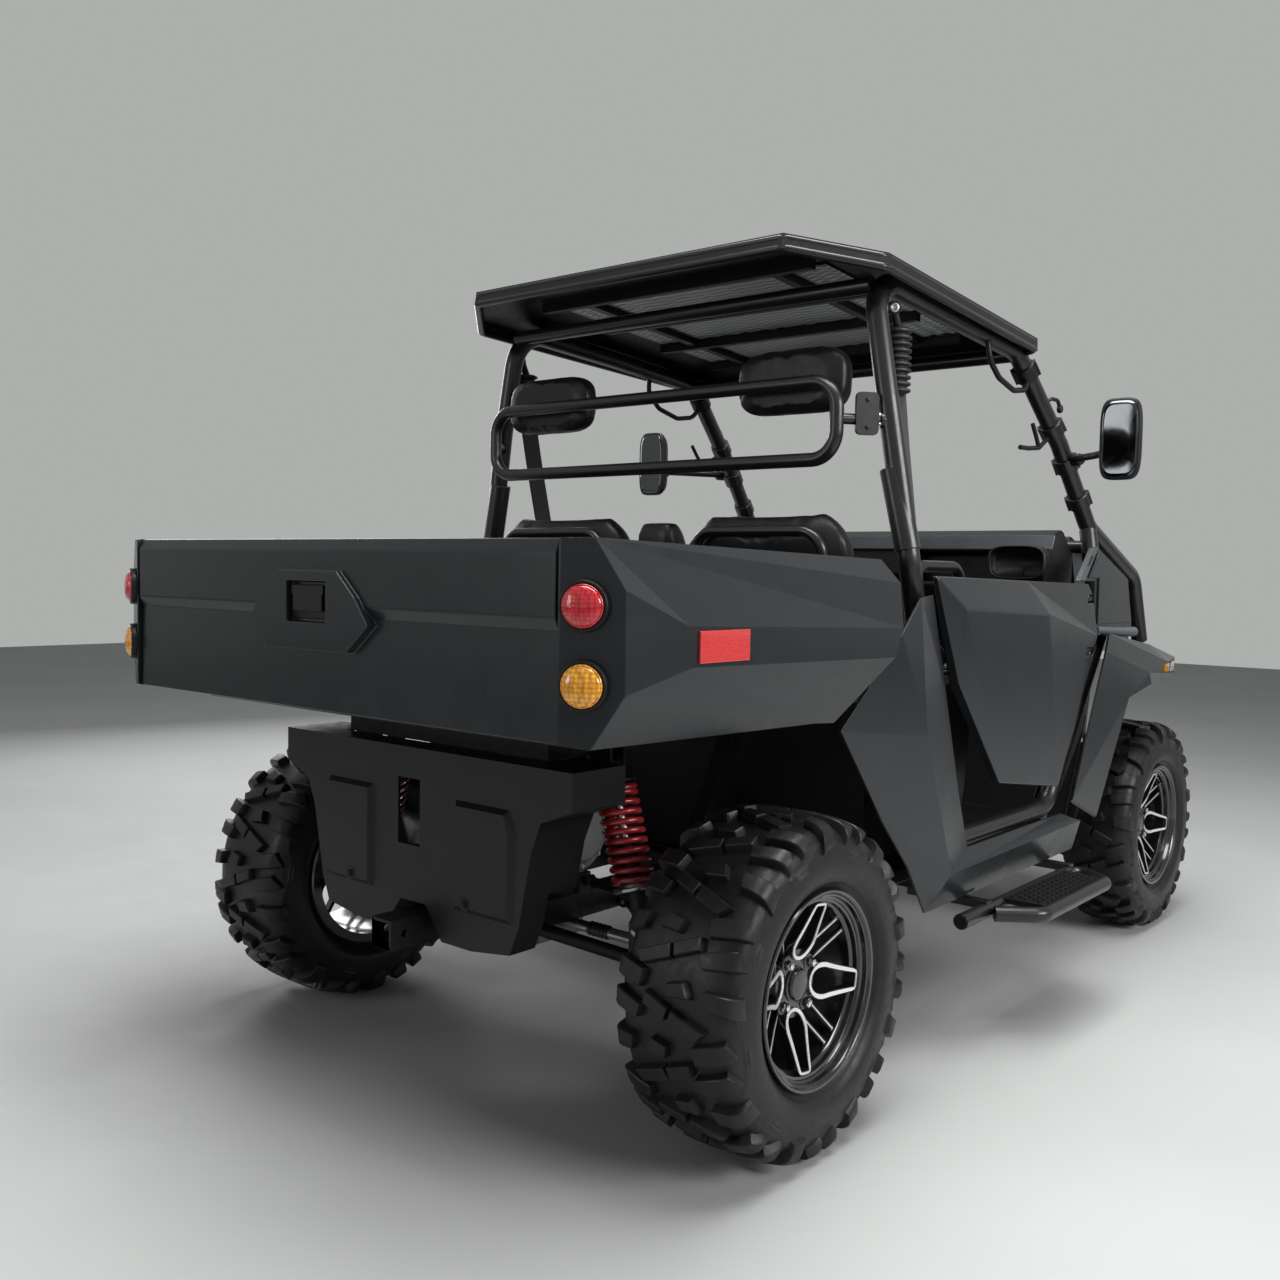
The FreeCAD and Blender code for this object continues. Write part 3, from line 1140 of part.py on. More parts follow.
def suspension():
    """Arms, dampers, springs, rear hub carriers with half shafts, and the steered knuckles."""
    arms = []
    for piece in rear_arms() + front_arms():
        arms += both_sides(piece)
    save("suspension_arms", arms)
    dampers, springs = [], []
    for ahead, foot_z in ((REAR_SHOCK_AHEAD, REAR_FOOT_Z), (FA, FRONT_FOOT_Z)):
        damper, coil = shock(ahead, foot_z)
        dampers += both_sides(damper)
        springs += both_sides(coil)
    save("shocks", dampers)
    save("springs", springs)
    shaft = bar(at(0, SHAFT_ROOT_Y, AXLE_Z), at(0, HUB_INNER_Y + 5, AXLE_Z), 13, 6)
    save("rear_hubs", both_sides(fused(hub_carrier(0.0, REAR_LIP_Y) + [shaft])))
    pins = [rod(at(FA, KINGPIN_Y, CARRIER_TOP), at(FA, KINGPIN_Y, CARRIER_TOP + KINGPIN_REACH), KINGPIN_RADIUS),
            bar(at(FA, KINGPIN_Y, CARRIER_BOTTOM - KINGPIN_REACH), at(FA, KINGPIN_Y, CARRIER_BOTTOM), KINGPIN_RADIUS)]
    save_pair("knuckle", fused(hub_carrier(FA, FRONT_LIP_Y) + pins))


def bed_tub():
    """The load bed's floor, side walls and headboard, with its under-bars, pivot brackets and pins."""
    outer = BED_INNER_Y + BED_WALL
    under = BED_FLOOR_Z - BED_FLOOR_THICKNESS
    rear = BED_REAR + TAILGATE_THICKNESS + TAILGATE_SWING_GAP
    floor = box(rear, BED_FRONT, -outer, outer, under, BED_FLOOR_Z)
    walls = both_sides(box(rear, BED_FRONT, BED_INNER_Y, outer, BED_FLOOR_Z, BED_TOP_Z - 6))
    head = box(BED_FRONT - 34, BED_FRONT, -outer, outer, BED_FLOOR_Z, BED_TOP_Z)
    pieces = [floor, head] + walls
    for ahead in (BED_REAR + 163,) + REST_PADS:
        pieces.append(box(ahead - 22, ahead + 22, -outer + 30, outer - 30, BED_BAR_Z, under))
    ear_y = BED_RAIL_Y + 5.5
    ear = box(BED_PIVOT_AHEAD - 13, BED_PIVOT_AHEAD + 13, ear_y, ear_y + 10, BED_PIVOT_Z - 7, under)
    pin = Part.makeCylinder(BED_PIVOT_RADIUS, 22, at(BED_PIVOT_AHEAD, BED_RAIL_Y - 11, BED_PIVOT_Z), V(0, 1, 0))
    for piece in (ear, pin):
        pieces += both_sides(piece)
    return fused(pieces)


def pod_slant(side, height):
    """A corner of the bed side's slanted rear face, which runs forward as it goes out."""
    return (BED_REAR + (side - POD_EDGE_Y) * POD_SLOPE, side, height)


def bed_side():
    """The moulded side of the load bed, a closed pod outside the tub's wall, with a bay for the tailgate's end."""
    corners = {
        "gate_top": pod_slant(POD_EDGE_Y, TAILGATE_TOP), "gate_low": pod_slant(POD_EDGE_Y, TAILGATE_BOTTOM + 2),
        "rear_top": pod_slant(708, 1159), "rear_mid": pod_slant(755, 1078), "rear_lip": pod_slant(756, 915),
        "rear_low": pod_slant(706, 829), "front_top": (300, 722, 1140), "front_high": (330, 752, 1092),
        "upper_rear": (-390, 762, 1020), "upper_front": (330, 762, 1000), "crease_rear": (-380, 762, 952),
        "crease_front": (300, 762, 940), "low_front": (130, 722, 815), "low_mid": (60, 722, 820),
    }
    facets = [
        ["gate_top", "gate_low", "rear_low", "rear_lip", "rear_mid", "rear_top"],
        ["rear_top", "rear_mid", "upper_rear"], ["rear_top", "upper_rear", "upper_front", "front_high", "front_top"],
        ["rear_mid", "rear_lip", "crease_rear", "upper_rear"],
        ["upper_rear", "crease_rear", "crease_front", "upper_front"],
        ["rear_lip", "rear_low", "low_mid", "crease_rear"],
        ["crease_rear", "low_mid", "low_front", "crease_front"],
    ]
    pod = skin(corners, facets, onto_side(BED_INNER_Y + BED_WALL))
    tub_rear = BED_REAR + TAILGATE_THICKNESS + TAILGATE_SWING_GAP
    bay = box(BED_REAR - 5, tub_rear, BED_INNER_Y, TAILGATE_HALF_WIDTH + GATE_GAP, 800, 1200)
    bore = flat_bore(at(GATE_PIN_AHEAD, TAILGATE_HALF_WIDTH, GATE_PIN_Z),
                     at(GATE_PIN_AHEAD, TAILGATE_HALF_WIDTH + 22, GATE_PIN_Z), GATE_PIN_RADIUS)
    return largest(pod.cut(bay).cut(bore))


def tail_lamp(height):
    """A round stepped lamp on the slanted rear face of the bed's side."""
    centre = at(*pod_slant(694, height))
    out = V(-1, POD_SLOPE, 0).normalize()
    ring = bar(centre, centre + out * 9, LAMP_RADIUS, 12)
    lens = bar(centre + out * 8, centre + out * LAMP_PROUD, LAMP_RADIUS - 7, 12)
    return ring.fuse(lens)


def reflector():
    """A flat rectangular reflector on the bed's side."""
    return box(-365, -225, 762, 767, 958, 1012)


def tailgate():
    """The tailgate: a thick panel with a bevelled top, a raised middle plate and a round hinge pin at each end."""
    rear = BED_REAR
    front = BED_REAR + TAILGATE_THICKNESS
    outline = [(rear + 6, TAILGATE_BOTTOM), (front, TAILGATE_BOTTOM), (front, TAILGATE_TOP),
               (rear + 10, TAILGATE_TOP), (rear, TAILGATE_TOP - 22), (rear, 1032), (rear + 9, 1012), (rear + 9, 1004)]
    panel = side_profile(outline, -TAILGATE_HALF_WIDTH, TAILGATE_HALF_WIDTH)
    plate_half = [(190, 1000), (150, 1050), (95, 1098)]
    outline = plate_half + [(-y, z) for y, z in reversed(plate_half)] + [(-125, 948), (125, 948)]
    plate = rear_profile(outline, -REAR_OVERHANG, rear + 12)
    pocket = box(-REAR_OVERHANG - 1, rear + 6, -62, 62, 1000, 1078)
    pins = both_sides(rod(at(GATE_PIN_AHEAD, TAILGATE_HALF_WIDTH - 20, GATE_PIN_Z),
                          at(GATE_PIN_AHEAD, TAILGATE_HALF_WIDTH + 20, GATE_PIN_Z), GATE_PIN_RADIUS))
    return fused([panel, plate] + pins).cut(pocket)


def tailgate_latch():
    """The pull handle in the tailgate's pocket."""
    rear = BED_REAR + 6
    return fused([box(rear - 14, rear, -52, 52, 1052, 1070), box(rear - 14, rear - 4, -52, 52, 1020, 1060),
                  box(rear - 3, rear, -60, 60, 1006, 1072)])


def door():
    """The half door: a faceted closed panel, notched and bored at its front for the hinge leaves and pins."""
    corners = {
        "top_rear": (552, 742, 1108), "top_front": (FA - 600, 726, 1092), "front_mid": (FA - 532, 724, 945),
        "front_low": (FA - 795, 728, 545), "rear_low": (905, 728, 600), "rear_mid": (650, 736, 860),
        "rear_edge": (640, 752, 1035), "fold_top": (1030, 746, 1100), "fold_low": (1110, 756, 1015),
    }
    facets = [
        ["top_rear", "rear_edge", "fold_low", "fold_top"], ["top_rear", "rear_mid", "rear_edge"],
        ["rear_edge", "rear_mid", "rear_low", "fold_low"], ["rear_low", "front_low", "fold_low"],
        ["fold_low", "front_low", "front_mid"], ["fold_top", "fold_low", "front_mid", "top_front"],
    ]
    panel = skin(corners, facets, onto_side(DOOR_INNER_Y))
    notch_half = HINGE_LEAF_HALF + HINGE_NOTCH_GAP
    for height in DOOR_HINGES:
        notch = box(DOOR_HINGE_AHEAD - 16, DOOR_HINGE_AHEAD + 120, DOOR_INNER_Y - 5, 770,
                    height - notch_half, height + notch_half)
        foot = at(DOOR_HINGE_AHEAD, DOOR_HINGE_Y, height)
        bore = flat_bore(foot, foot + V(0, 0, HINGE_PIN_RISE + 2), HINGE_PIN_RADIUS)
        panel = panel.cut(notch).cut(bore)
    return panel


def save_pair(node, shape):
    save(f"{node}_left", [shape])
    save(f"{node}_right", [mirrored(shape)])


def body_panels(cage_shape, fender_shape):
    save_pair("side_panel", side_panel())
    save_pair("front_fender", fender_shape)
    save("hood", [hood(cage_shape)])
    save("roof_panel", [largest(roof().cut(cage_shape))])
    save("front_bumper", [front_bumper()])
    save("side_steps", both_sides(step()))
    save("mirrors", both_sides(mirror_piece(cage_shape)))
    save("seat_belts", both_sides(seat_belts(cage_shape)))
    save_pair("door", door())


def lamps(fender_shape):
    white = largest(marker_lamp(FA + 150, FA + 200, 808, 840).cut(fender_shape))
    amber = largest(marker_lamp(FA + 60, FA + 110, 813, 838).cut(fender_shape))
    save("headlamps", both_sides(headlamps()) + both_sides(white))
    save("marker_lamps", both_sides(amber))
    save("tail_lamps_red", both_sides(tail_lamp(1053)) + both_sides(reflector()))
    save("tail_lamps_amber", both_sides(tail_lamp(929)))


def bed():
    save("bed_tub", [bed_tub()])
    save_pair("bed_side", bed_side())
    save("tailgate", [tailgate()])
    save("tailgate_latch", [tailgate_latch()])


def main():
    os.makedirs("parts", exist_ok=True)
    wheels()
    chassis_frame()
    floor_pan()
    seat_base()
    battery_box()
    drive_motor()
    rear_cover()
    seats()
    seat_tubes()
    cage_shape = cage()
    save("cage", [cage_shape])
    rear_guard(cage_shape)
    fender_shape = front_fender(cage_shape)
    body_panels(cage_shape, fender_shape)
    dash_shape = dash(cage_shape)
    save("dash_panel", [dash_shape])
    save("steering_wheel", [steering_wheel()])
    save("steering_column", [steering_column(dash_shape)])
    lamps(fender_shape)
    suspension()
    bed()


main()
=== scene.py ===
import json
import math
import bmesh
import bpy
import numpy as np
from mathutils import Matrix, Vector

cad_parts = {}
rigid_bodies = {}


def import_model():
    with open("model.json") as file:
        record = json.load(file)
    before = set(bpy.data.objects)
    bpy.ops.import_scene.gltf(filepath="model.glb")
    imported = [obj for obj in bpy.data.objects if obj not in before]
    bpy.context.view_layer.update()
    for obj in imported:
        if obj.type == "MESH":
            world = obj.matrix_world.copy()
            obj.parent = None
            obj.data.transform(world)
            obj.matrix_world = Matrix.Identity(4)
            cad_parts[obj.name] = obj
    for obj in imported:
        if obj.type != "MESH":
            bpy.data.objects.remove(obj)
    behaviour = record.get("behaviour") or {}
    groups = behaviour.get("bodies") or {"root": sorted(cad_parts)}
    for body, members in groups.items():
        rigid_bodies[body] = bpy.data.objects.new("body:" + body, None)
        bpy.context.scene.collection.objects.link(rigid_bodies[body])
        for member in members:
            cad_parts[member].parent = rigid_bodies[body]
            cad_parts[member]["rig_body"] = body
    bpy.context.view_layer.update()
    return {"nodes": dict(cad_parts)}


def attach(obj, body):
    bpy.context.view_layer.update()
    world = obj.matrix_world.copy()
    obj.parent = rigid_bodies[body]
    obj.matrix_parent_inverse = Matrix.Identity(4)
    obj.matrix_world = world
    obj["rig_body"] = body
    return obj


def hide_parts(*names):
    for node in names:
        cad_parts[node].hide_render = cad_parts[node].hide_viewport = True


# Looks of the side-by-side utility vehicle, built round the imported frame. Metres; X forward, Y left, Z up.
# Places are given as (ahead of the rear axle, out from the middle plane, height), as in the part's source.

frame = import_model()

REAR_AXLE_X = -0.940
WHEELBASE = 2.080
AXLE_Z = 0.327
SIDES = (1, -1)
SIDE_NAME = {1: "left", -1: "right"}


def at(ahead, side, height):
    """A place in the frame's metres from its distances ahead, out and up."""
    return np.array([REAR_AXLE_X + ahead, side, height], float)


# Materials

def new_material(name):
    """A node material with its node tree and shader."""
    material = bpy.data.materials.new(name)
    material.use_nodes = True
    tree = material.node_tree
    shader = next(n for n in tree.nodes if n.type == "BSDF_PRINCIPLED")
    return material, tree, shader


def add_noise(tree, scale, detail=4.0, stretch=(1, 1, 1)):
    """A noise in the frame's own coordinates, at a scale per metre."""
    coords = tree.nodes.new("ShaderNodeTexCoord")
    mapping = tree.nodes.new("ShaderNodeMapping")
    mapping.inputs["Scale"].default_value = stretch
    noise = tree.nodes.new("ShaderNodeTexNoise")
    noise.inputs["Scale"].default_value = scale
    noise.inputs["Detail"].default_value = detail
    tree.links.new(coords.outputs["Object"], mapping.inputs["Vector"])
    tree.links.new(mapping.outputs["Vector"], noise.inputs["Vector"])
    return noise.outputs["Fac"]


def add_ramp(tree, factor, stops):
    """A colour ramp of (place, colour) stops, driven by a factor."""
    ramp = tree.nodes.new("ShaderNodeValToRGB")
    elements = ramp.color_ramp.elements
    while len(elements) < len(stops):
        elements.new(0.5)
    for element, (place, colour) in zip(elements, stops):
        element.position = place
        element.color = (*colour, 1) if len(colour) == 3 else colour
    tree.links.new(factor, ramp.inputs["Fac"])
    return ramp.outputs["Color"]


def add_bump(tree, shader, height, strength, distance):
    """Fine relief from a height."""
    bump = tree.nodes.new("ShaderNodeBump")
    bump.inputs["Strength"].default_value = strength
    bump.inputs["Distance"].default_value = distance
    tree.links.new(height, bump.inputs["Height"])
    tree.links.new(bump.outputs["Normal"], shader.inputs["Normal"])


def shaded(colour, share):
    """A colour made lighter or darker by a share."""
    return tuple(min(1.0, channel * share) for channel in colour)


def finish_material(name, colour, rough, metal=0.0, grain=900.0, bump=0.05, spread=0.12, uneven=0.25,
                    coat=0.0, patches=6.0, sheen=0.0, shine=0.5):
    """A surface with slow colour changes, uneven roughness and a fine grain."""
    material, tree, shader = new_material(name)
    slow = add_noise(tree, patches, 6.0)
    tone = add_ramp(tree, slow, [(0.3, shaded(colour, 1 - uneven)), (0.7, shaded(colour, 1 + uneven))])
    tree.links.new(tone, shader.inputs["Base Color"])
    dull = add_noise(tree, patches * 9.0, 5.0)
    low, high = max(rough - spread, 0.03), min(rough + spread, 1.0)
    roughness = add_ramp(tree, dull, [(0.3, (low,) * 3), (0.7, (high,) * 3)])
    tree.links.new(roughness, shader.inputs["Roughness"])
    add_bump(tree, shader, add_noise(tree, grain, 3.0), bump, 0.0006)
    shader.inputs["Metallic"].default_value = metal
    shader.inputs["Coat Weight"].default_value = coat
    shader.inputs["Coat Roughness"].default_value = 0.12
    shader.inputs["Sheen Weight"].default_value = sheen
    shader.inputs["Specular IOR Level"].default_value = shine
    return material


def lens_material(name, colour, cell, glow=0.0):
    """A moulded lens: reflector dots under coloured plastic, each painted bright in its middle and dark at its rim as
    a painted glint.
    """
    material, tree, shader = new_material(name)
    coords = tree.nodes.new("ShaderNodeTexCoord")
    cells = tree.nodes.new("ShaderNodeTexVoronoi")
    cells.inputs["Scale"].default_value = cell
    cells.inputs["Randomness"].default_value = 0.25
    tree.links.new(coords.outputs["Object"], cells.inputs["Vector"])
    # Painted glint: each cell's colour is 2.2 times brighter at its middle and darker towards its rim.
    tone = add_ramp(tree, cells.outputs["Distance"],
                    [(0.0, shaded(colour, 2.2)), (0.35, colour), (0.75, shaded(colour, 0.35))])
    tree.links.new(tone, shader.inputs["Base Color"])
    add_bump(tree, shader, cells.outputs["Distance"], 0.35, 0.002)
    shader.inputs["Roughness"].default_value = 0.16
    shader.inputs["Coat Weight"].default_value = 1.0
    shader.inputs["Coat Roughness"].default_value = 0.04
    shader.inputs["Emission Color"].default_value = (*colour, 1)
    shader.inputs["Emission Strength"].default_value = glow
    return material


def woven_material(name, colour, threads):
    """Woven webbing: fine crossing ribs, painted lighter on their crests and darker between them as painted shade."""
    material, tree, shader = new_material(name)
    coords = tree.nodes.new("ShaderNodeTexCoord")
    wave = tree.nodes.new("ShaderNodeTexWave")
    wave.bands_direction = "Z"
    wave.inputs["Scale"].default_value = threads
    tree.links.new(coords.outputs["Object"], wave.inputs["Vector"])
    # Painted shade: the colour follows the ribs' wave, darker in the troughs and lighter on the crests.
    tone = add_ramp(tree, wave.outputs["Fac"], [(0.2, shaded(colour, 0.6)), (0.8, shaded(colour, 1.5))])
    tree.links.new(tone, shader.inputs["Base Color"])
    add_bump(tree, shader, wave.outputs["Fac"], 0.4, 0.0008)
    shader.inputs["Roughness"].default_value = 0.75
    shader.inputs["Sheen Weight"].default_value = 0.3
    return material


def ribbed_roof_material(name, colour):
    """A smoke-grey ribbed sheet that light comes through, painted lighter on the ribs' crests and darker in their
    troughs as painted shade.
    """
    material, tree, shader = new_material(name)
    coords = tree.nodes.new("ShaderNodeTexCoord")
    wave = tree.nodes.new("ShaderNodeTexWave")
    wave.bands_direction = "X"
    wave.inputs["Scale"].default_value = 14.0
    wave.inputs["Distortion"].default_value = 0.6
    tree.links.new(coords.outputs["Object"], wave.inputs["Vector"])
    # Painted shade: the colour follows the ribs' wave, darker in the troughs and lighter on the crests.
    tone = add_ramp(tree, wave.outputs["Fac"], [(0.0, shaded(colour, 0.45)), (1.0, shaded(colour, 1.3))])
    tree.links.new(tone, shader.inputs["Base Color"])
    add_bump(tree, shader, wave.outputs["Fac"], 0.25, 0.003)
    shader.inputs["Roughness"].default_value = 0.3
    return material


# Finishes: slot, name, colour, roughness, metal, grain per metre, grain bump, roughness spread, unevenness, coat
FINISHES = [
    ("body_panel", "satin_charcoal", (0.0135, 0.0155, 0.0185), 0.30, 0.0, 1500, 0.02, 0.04, 0.08, 0.20),
    # A lighter copy of the satin charcoal: painted highlight, for strips and edges drawn as catching the light.
    ("panel_edge", "satin_charcoal_edge", (0.075, 0.083, 0.092), 0.34, 0.0, 1500, 0.03, 0.06, 0.2, 0.3),
    ("cage_black", "powder_black", (0.009, 0.009, 0.010), 0.32, 0.0, 1100, 0.012, 0.04, 0.15, 0.15),
    ("frame_black", "frame_black", (0.008, 0.008, 0.009), 0.50, 0.0, 700, 0.10, 0.12, 0.3, 0.0),
    ("moulded_black", "moulded_black", (0.0085, 0.0085, 0.0092), 0.42, 0.0, 850, 0.14, 0.06, 0.15, 0.0),
    ("seat_black", "seat_vinyl", (0.009, 0.009, 0.010), 0.38, 0.0, 520, 0.24, 0.06, 0.15, 0.0),
    ("tyre", "tyre_rubber", (0.0110, 0.0110, 0.0115), 0.42, 0.0, 420, 0.12, 0.08, 0.35, 0.0),
    ("rim_gloss", "rim_gloss_black", (0.010, 0.010, 0.011), 0.20, 0.0, 300, 0.01, 0.05, 0.1, 0.8),
    ("bright", "machined_bright", (0.86, 0.87, 0.88), 0.30, 0.55, 1800, 0.03, 0.05, 0.05, 0.0),
    ("lug_bright", "plated_bright", (0.78, 0.79, 0.80), 0.16, 1.0, 300, 0.01, 0.05, 0.05, 0.0),
    ("spring_red", "spring_red", (0.30, 0.010, 0.014), 0.34, 0.0, 700, 0.03, 0.08, 0.25, 0.5),
    ("steel", "zinc_steel", (0.42, 0.42, 0.43), 0.34, 1.0, 600, 0.06, 0.10, 0.15, 0.0),
    ("motor_grey", "cast_grey", (0.20, 0.20, 0.205), 0.55, 0.6, 380, 0.22, 0.12, 0.2, 0.0),
    ("battery_grey", "case_grey", (0.05, 0.05, 0.053), 0.5, 0.0, 600, 0.1, 0.1, 0.2, 0.0),
    ("bellows", "bellows_rubber", (0.018, 0.018, 0.019), 0.45, 0.0, 400, 0.08, 0.1, 0.2, 0.0),
    ("wheel_grip", "soft_grip", (0.020, 0.020, 0.021), 0.6, 0.0, 650, 0.25, 0.1, 0.15, 0.0),
    ("mirror_glass", "mirror_glass", (0.10, 0.105, 0.11), 0.06, 1.0, 5, 0.0, 0.02, 0.05, 0.0),
    # Near black standing in for the shade inside slots and recesses: painted shade.
    ("dark_gap", "dark_gap", (0.004, 0.004, 0.004), 0.8, 0.0, 300, 0.05, 0.1, 0.2, 0.0),
]
FINISH_EXTRAS = {
    "body_panel": dict(patches=2.0, shine=0.35), "frame_black": dict(shine=0.3), "moulded_black": dict(shine=0.3),
    "seat_black": dict(patches=5, sheen=0.03, shine=0.35), "tyre": dict(patches=9, shine=0.32),
}
MATERIALS = {slot: finish_material(*numbers, **FINISH_EXTRAS.get(slot, {})) for slot, *numbers in FINISHES}
MATERIALS.update({
    "lens_red": lens_material("lens_red", (0.62, 0.008, 0.020), 150.0, 0.10),
    "lens_amber": lens_material("lens_amber", (0.90, 0.36, 0.012), 130.0, 0.12),
    "lens_clear": lens_material("lens_clear", (0.62, 0.66, 0.70), 120.0, 0.0),
    # The reflector is no lamp, yet it glows: painted light standing in for the light it sends back.
    "reflector": lens_material("reflector_red", (0.72, 0.030, 0.030), 420.0, 0.12),
    "webbing": woven_material("webbing_black", (0.020, 0.020, 0.022), 260.0),
    "roof_sheet": ribbed_roof_material("roof_sheet", (0.42, 0.43, 0.44)),
})


# Mesh building: a Shape gathers surfaces; piece() makes the object

def signed_volume(vertices, faces):
    """Six times the volume inside closed faces, below zero where they face inwards: the sum of a . (b x c) over
    each face's fan of triangles."""
    total = 0.0
    for corners in {len(face) for face in faces}:
        group = vertices[np.array([face for face in faces if len(face) == corners])]
        for i in range(1, corners - 1):
            total += np.einsum("ij,ij->", group[:, 0], np.cross(group[:, i], group[:, i + 1]))
    return total


class Shape:
    """Vertices and faces of one piece, with a material number per face."""

    def __init__(self):
        """Starts without points or faces."""
        self.vertices = []
        self.faces = []
        self.numbers = []
        self.smooth = []
        self.count = 0

    def add(self, vertices, faces, number=0, smooth=True, solid=True):
        """Adds a surface; the faces of a closed one are turned to point outwards."""
        self.vertices.append(np.asarray(vertices, float).reshape(-1, 3))
        middle = self.vertices[-1].mean(0)
        if solid and signed_volume(self.vertices[-1] - middle, faces) < 0:
            faces = [face[::-1] for face in faces]
        self.faces.extend([[i + self.count for i in face] for face in faces])
        self.numbers.extend([number] * len(faces))
        self.smooth.extend([smooth] * len(faces))
        self.count += len(self.vertices[-1])
        return self

    def grid(self, points, close_u=False, close_v=True, caps=True, number=0, extra=(), solid=True):
        """A surface on a grid of points (rows along u, columns round v); caps close the ends of a tube, and extra
        faces any other opening."""
        rows, columns = points.shape[:2]
        u = np.arange(rows if close_u else rows - 1)
        v = np.arange(columns if close_v else columns - 1)
        uu, vv = np.meshgrid(u, v, indexing="ij")
        un, vn = (uu + 1) % rows, (vv + 1) % columns
        quads = np.stack([uu * columns + vv, uu * columns + vn, un * columns + vn, un * columns + vv], -1)
        faces = quads.reshape(-1, 4).tolist()
        if caps and not close_u:
            faces.append(list(range(columns - 1, -1, -1)))
            faces.append([(rows - 1) * columns + i for i in range(columns)])
        return self.add(points.reshape(-1, 3), faces + list(extra), number, solid=solid)

    def mirrored(self):
        """The same shape on the other side of the middle plane, facing outwards."""
        other = Shape()
        other.vertices = [points * (1, -1, 1) for points in self.vertices]
        other.faces = [face[::-1] for face in self.faces]
        other.numbers, other.smooth, other.count = list(self.numbers), list(self.smooth), self.count
        return other

    def join(self, *others):
        """Adds copies of other shapes."""
        for other in others:
            self.vertices.extend(other.vertices)
            self.faces.extend([[i + self.count for i in face] for face in other.faces])
            self.numbers.extend(other.numbers)
            self.smooth.extend(other.smooth)
            self.count += other.count
        return self


def piece(name, shape, body, slots, replaces=(), bevel=0.0, bevel_angle=35, segments=2, weld=False, crease=0):
    """Makes the object from a Shape: outward faces, materials, a bevel on its sharp edges, and its body."""
    mesh = bpy.data.meshes.new(name)
    mesh.from_pydata(np.concatenate(shape.vertices).tolist(), [], shape.faces)
    mesh.polygons.foreach_set("material_index", shape.numbers)
    mesh.polygons.foreach_set("use_smooth", shape.smooth)
    slots = [slots] if isinstance(slots, str) else slots
    for slot in slots:
        mesh.materials.append(MATERIALS[slot])
    if weld:
        work = bmesh.new()
        work.from_mesh(mesh)
        bmesh.ops.remove_doubles(work, verts=work.verts, dist=1e-5)
        work.to_mesh(mesh)
        work.free()
    if crease:
        mesh.set_sharp_from_angle(angle=math.radians(crease))
    mesh.update()
    item = bpy.data.objects.new(name, mesh)
    bpy.context.scene.collection.objects.link(item)
    if bevel:
        edge = item.modifiers.new("edges", "BEVEL")
        edge.width = bevel
        edge.segments = segments
        edge.limit_method = "ANGLE"
        edge.angle_limit = math.radians(bevel_angle)
        edge.use_clamp_overlap = True
        item.modifiers.new("shading", "WEIGHTED_NORMAL").keep_sharp = True
    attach(item, body)
    if replaces:
        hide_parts(*([replaces] if isinstance(replaces, str) else replaces))
    return item


def unit(vector):
    """The vector scaled to length one."""
    vector = np.asarray(vector, float)
    return vector / np.linalg.norm(vector)


def unit_rows(rows):
    """Each row scaled to length one."""
    return rows / np.linalg.norm(rows, axis=1)[:, None]


def rounded_path(points, bend, steps=10):
    """A route whose corners are true arcs of the bend radius."""
    points = [np.asarray(p, float) for p in points]
    path = [points[0]]
    for before, corner, after in zip(points, points[1:], points[2:]):
        back, ahead = unit(before - corner), unit(after - corner)
        opening = math.acos(float(np.clip(back @ ahead, -1, 1)))
        if math.pi - opening < 0.02:
            path.append(corner)
            continue
        radius = min(bend, 0.48 * min(np.linalg.norm(before - corner), np.linalg.norm(after - corner))
                     * math.tan(opening / 2))
        reach = radius / math.tan(opening / 2)
        centre = corner + unit(back + ahead) * (radius / math.sin(opening / 2))
        start = corner + back * reach - centre
        end = corner + ahead * reach - centre
        turn = math.pi - opening
        across = np.cross(unit(np.cross(start, end)), start)
        turns = np.linspace(0, turn, steps + 1)[:, None]
        path.extend(centre + start * np.cos(turns) + across * np.sin(turns))
    path.append(points[-1])
    return np.array(path)


def frames_along(path):
    """A side and an up direction at each point of a path, carried along without twist."""
    tangents = unit_rows(np.gradient(path, axis=0))
    side = np.cross(tangents[0], (0, 0, 1))
    if np.linalg.norm(side) < 0.1:
        side = np.cross(tangents[0], (0, 1, 0))
    sides = []
    for tangent in tangents:
        side = unit(side - tangent * (side @ tangent))
        sides.append(side)
    sides = np.array(sides)
    return sides, np.cross(sides, tangents)


def ring_points(path, sides, ups, radius, around):
    """Circle points about each station of a path: side times cosine plus up times sine of the turn."""
    turns = 2 * math.pi * np.arange(around) / around
    circle = sides[:, None] * np.cos(turns)[None, :, None] + ups[:, None] * np.sin(turns)[None, :, None]
    return path[:, None] + circle * radius


def tube(shape, points, diameter, bend=0.0, around=20, number=0, steps=8):
    """A round tube along a path: circle points at each station, closed by caps."""
    path = rounded_path(points, bend, steps) if bend else np.array(points, float)
    sides, ups = frames_along(path)
    return shape.grid(ring_points(path, sides, ups, diameter / 2, around), number=number)


def loop_tangents(path):
    """The direction of travel at each point of a closed path."""
    return unit_rows(np.roll(path, -1, 0) - np.roll(path, 1, 0))


def ribbon(shape, points, width, thickness, wide, number=0):
    """A flat strap along a path; wide is the direction of its width."""
    path = np.array(points, float)
    tangents = unit_rows(np.gradient(path, axis=0))
    across = unit(wide)
    across = unit_rows(across - tangents * (tangents @ across)[:, None])
    normal = np.cross(across, tangents)
    corners = [(-1, -1), (1, -1), (1, 1), (-1, 1)]
    ring = np.stack([path + across * (a * width / 2) + normal * (b * thickness / 2) for a, b in corners], 1)
    return shape.grid(ring, number=number)


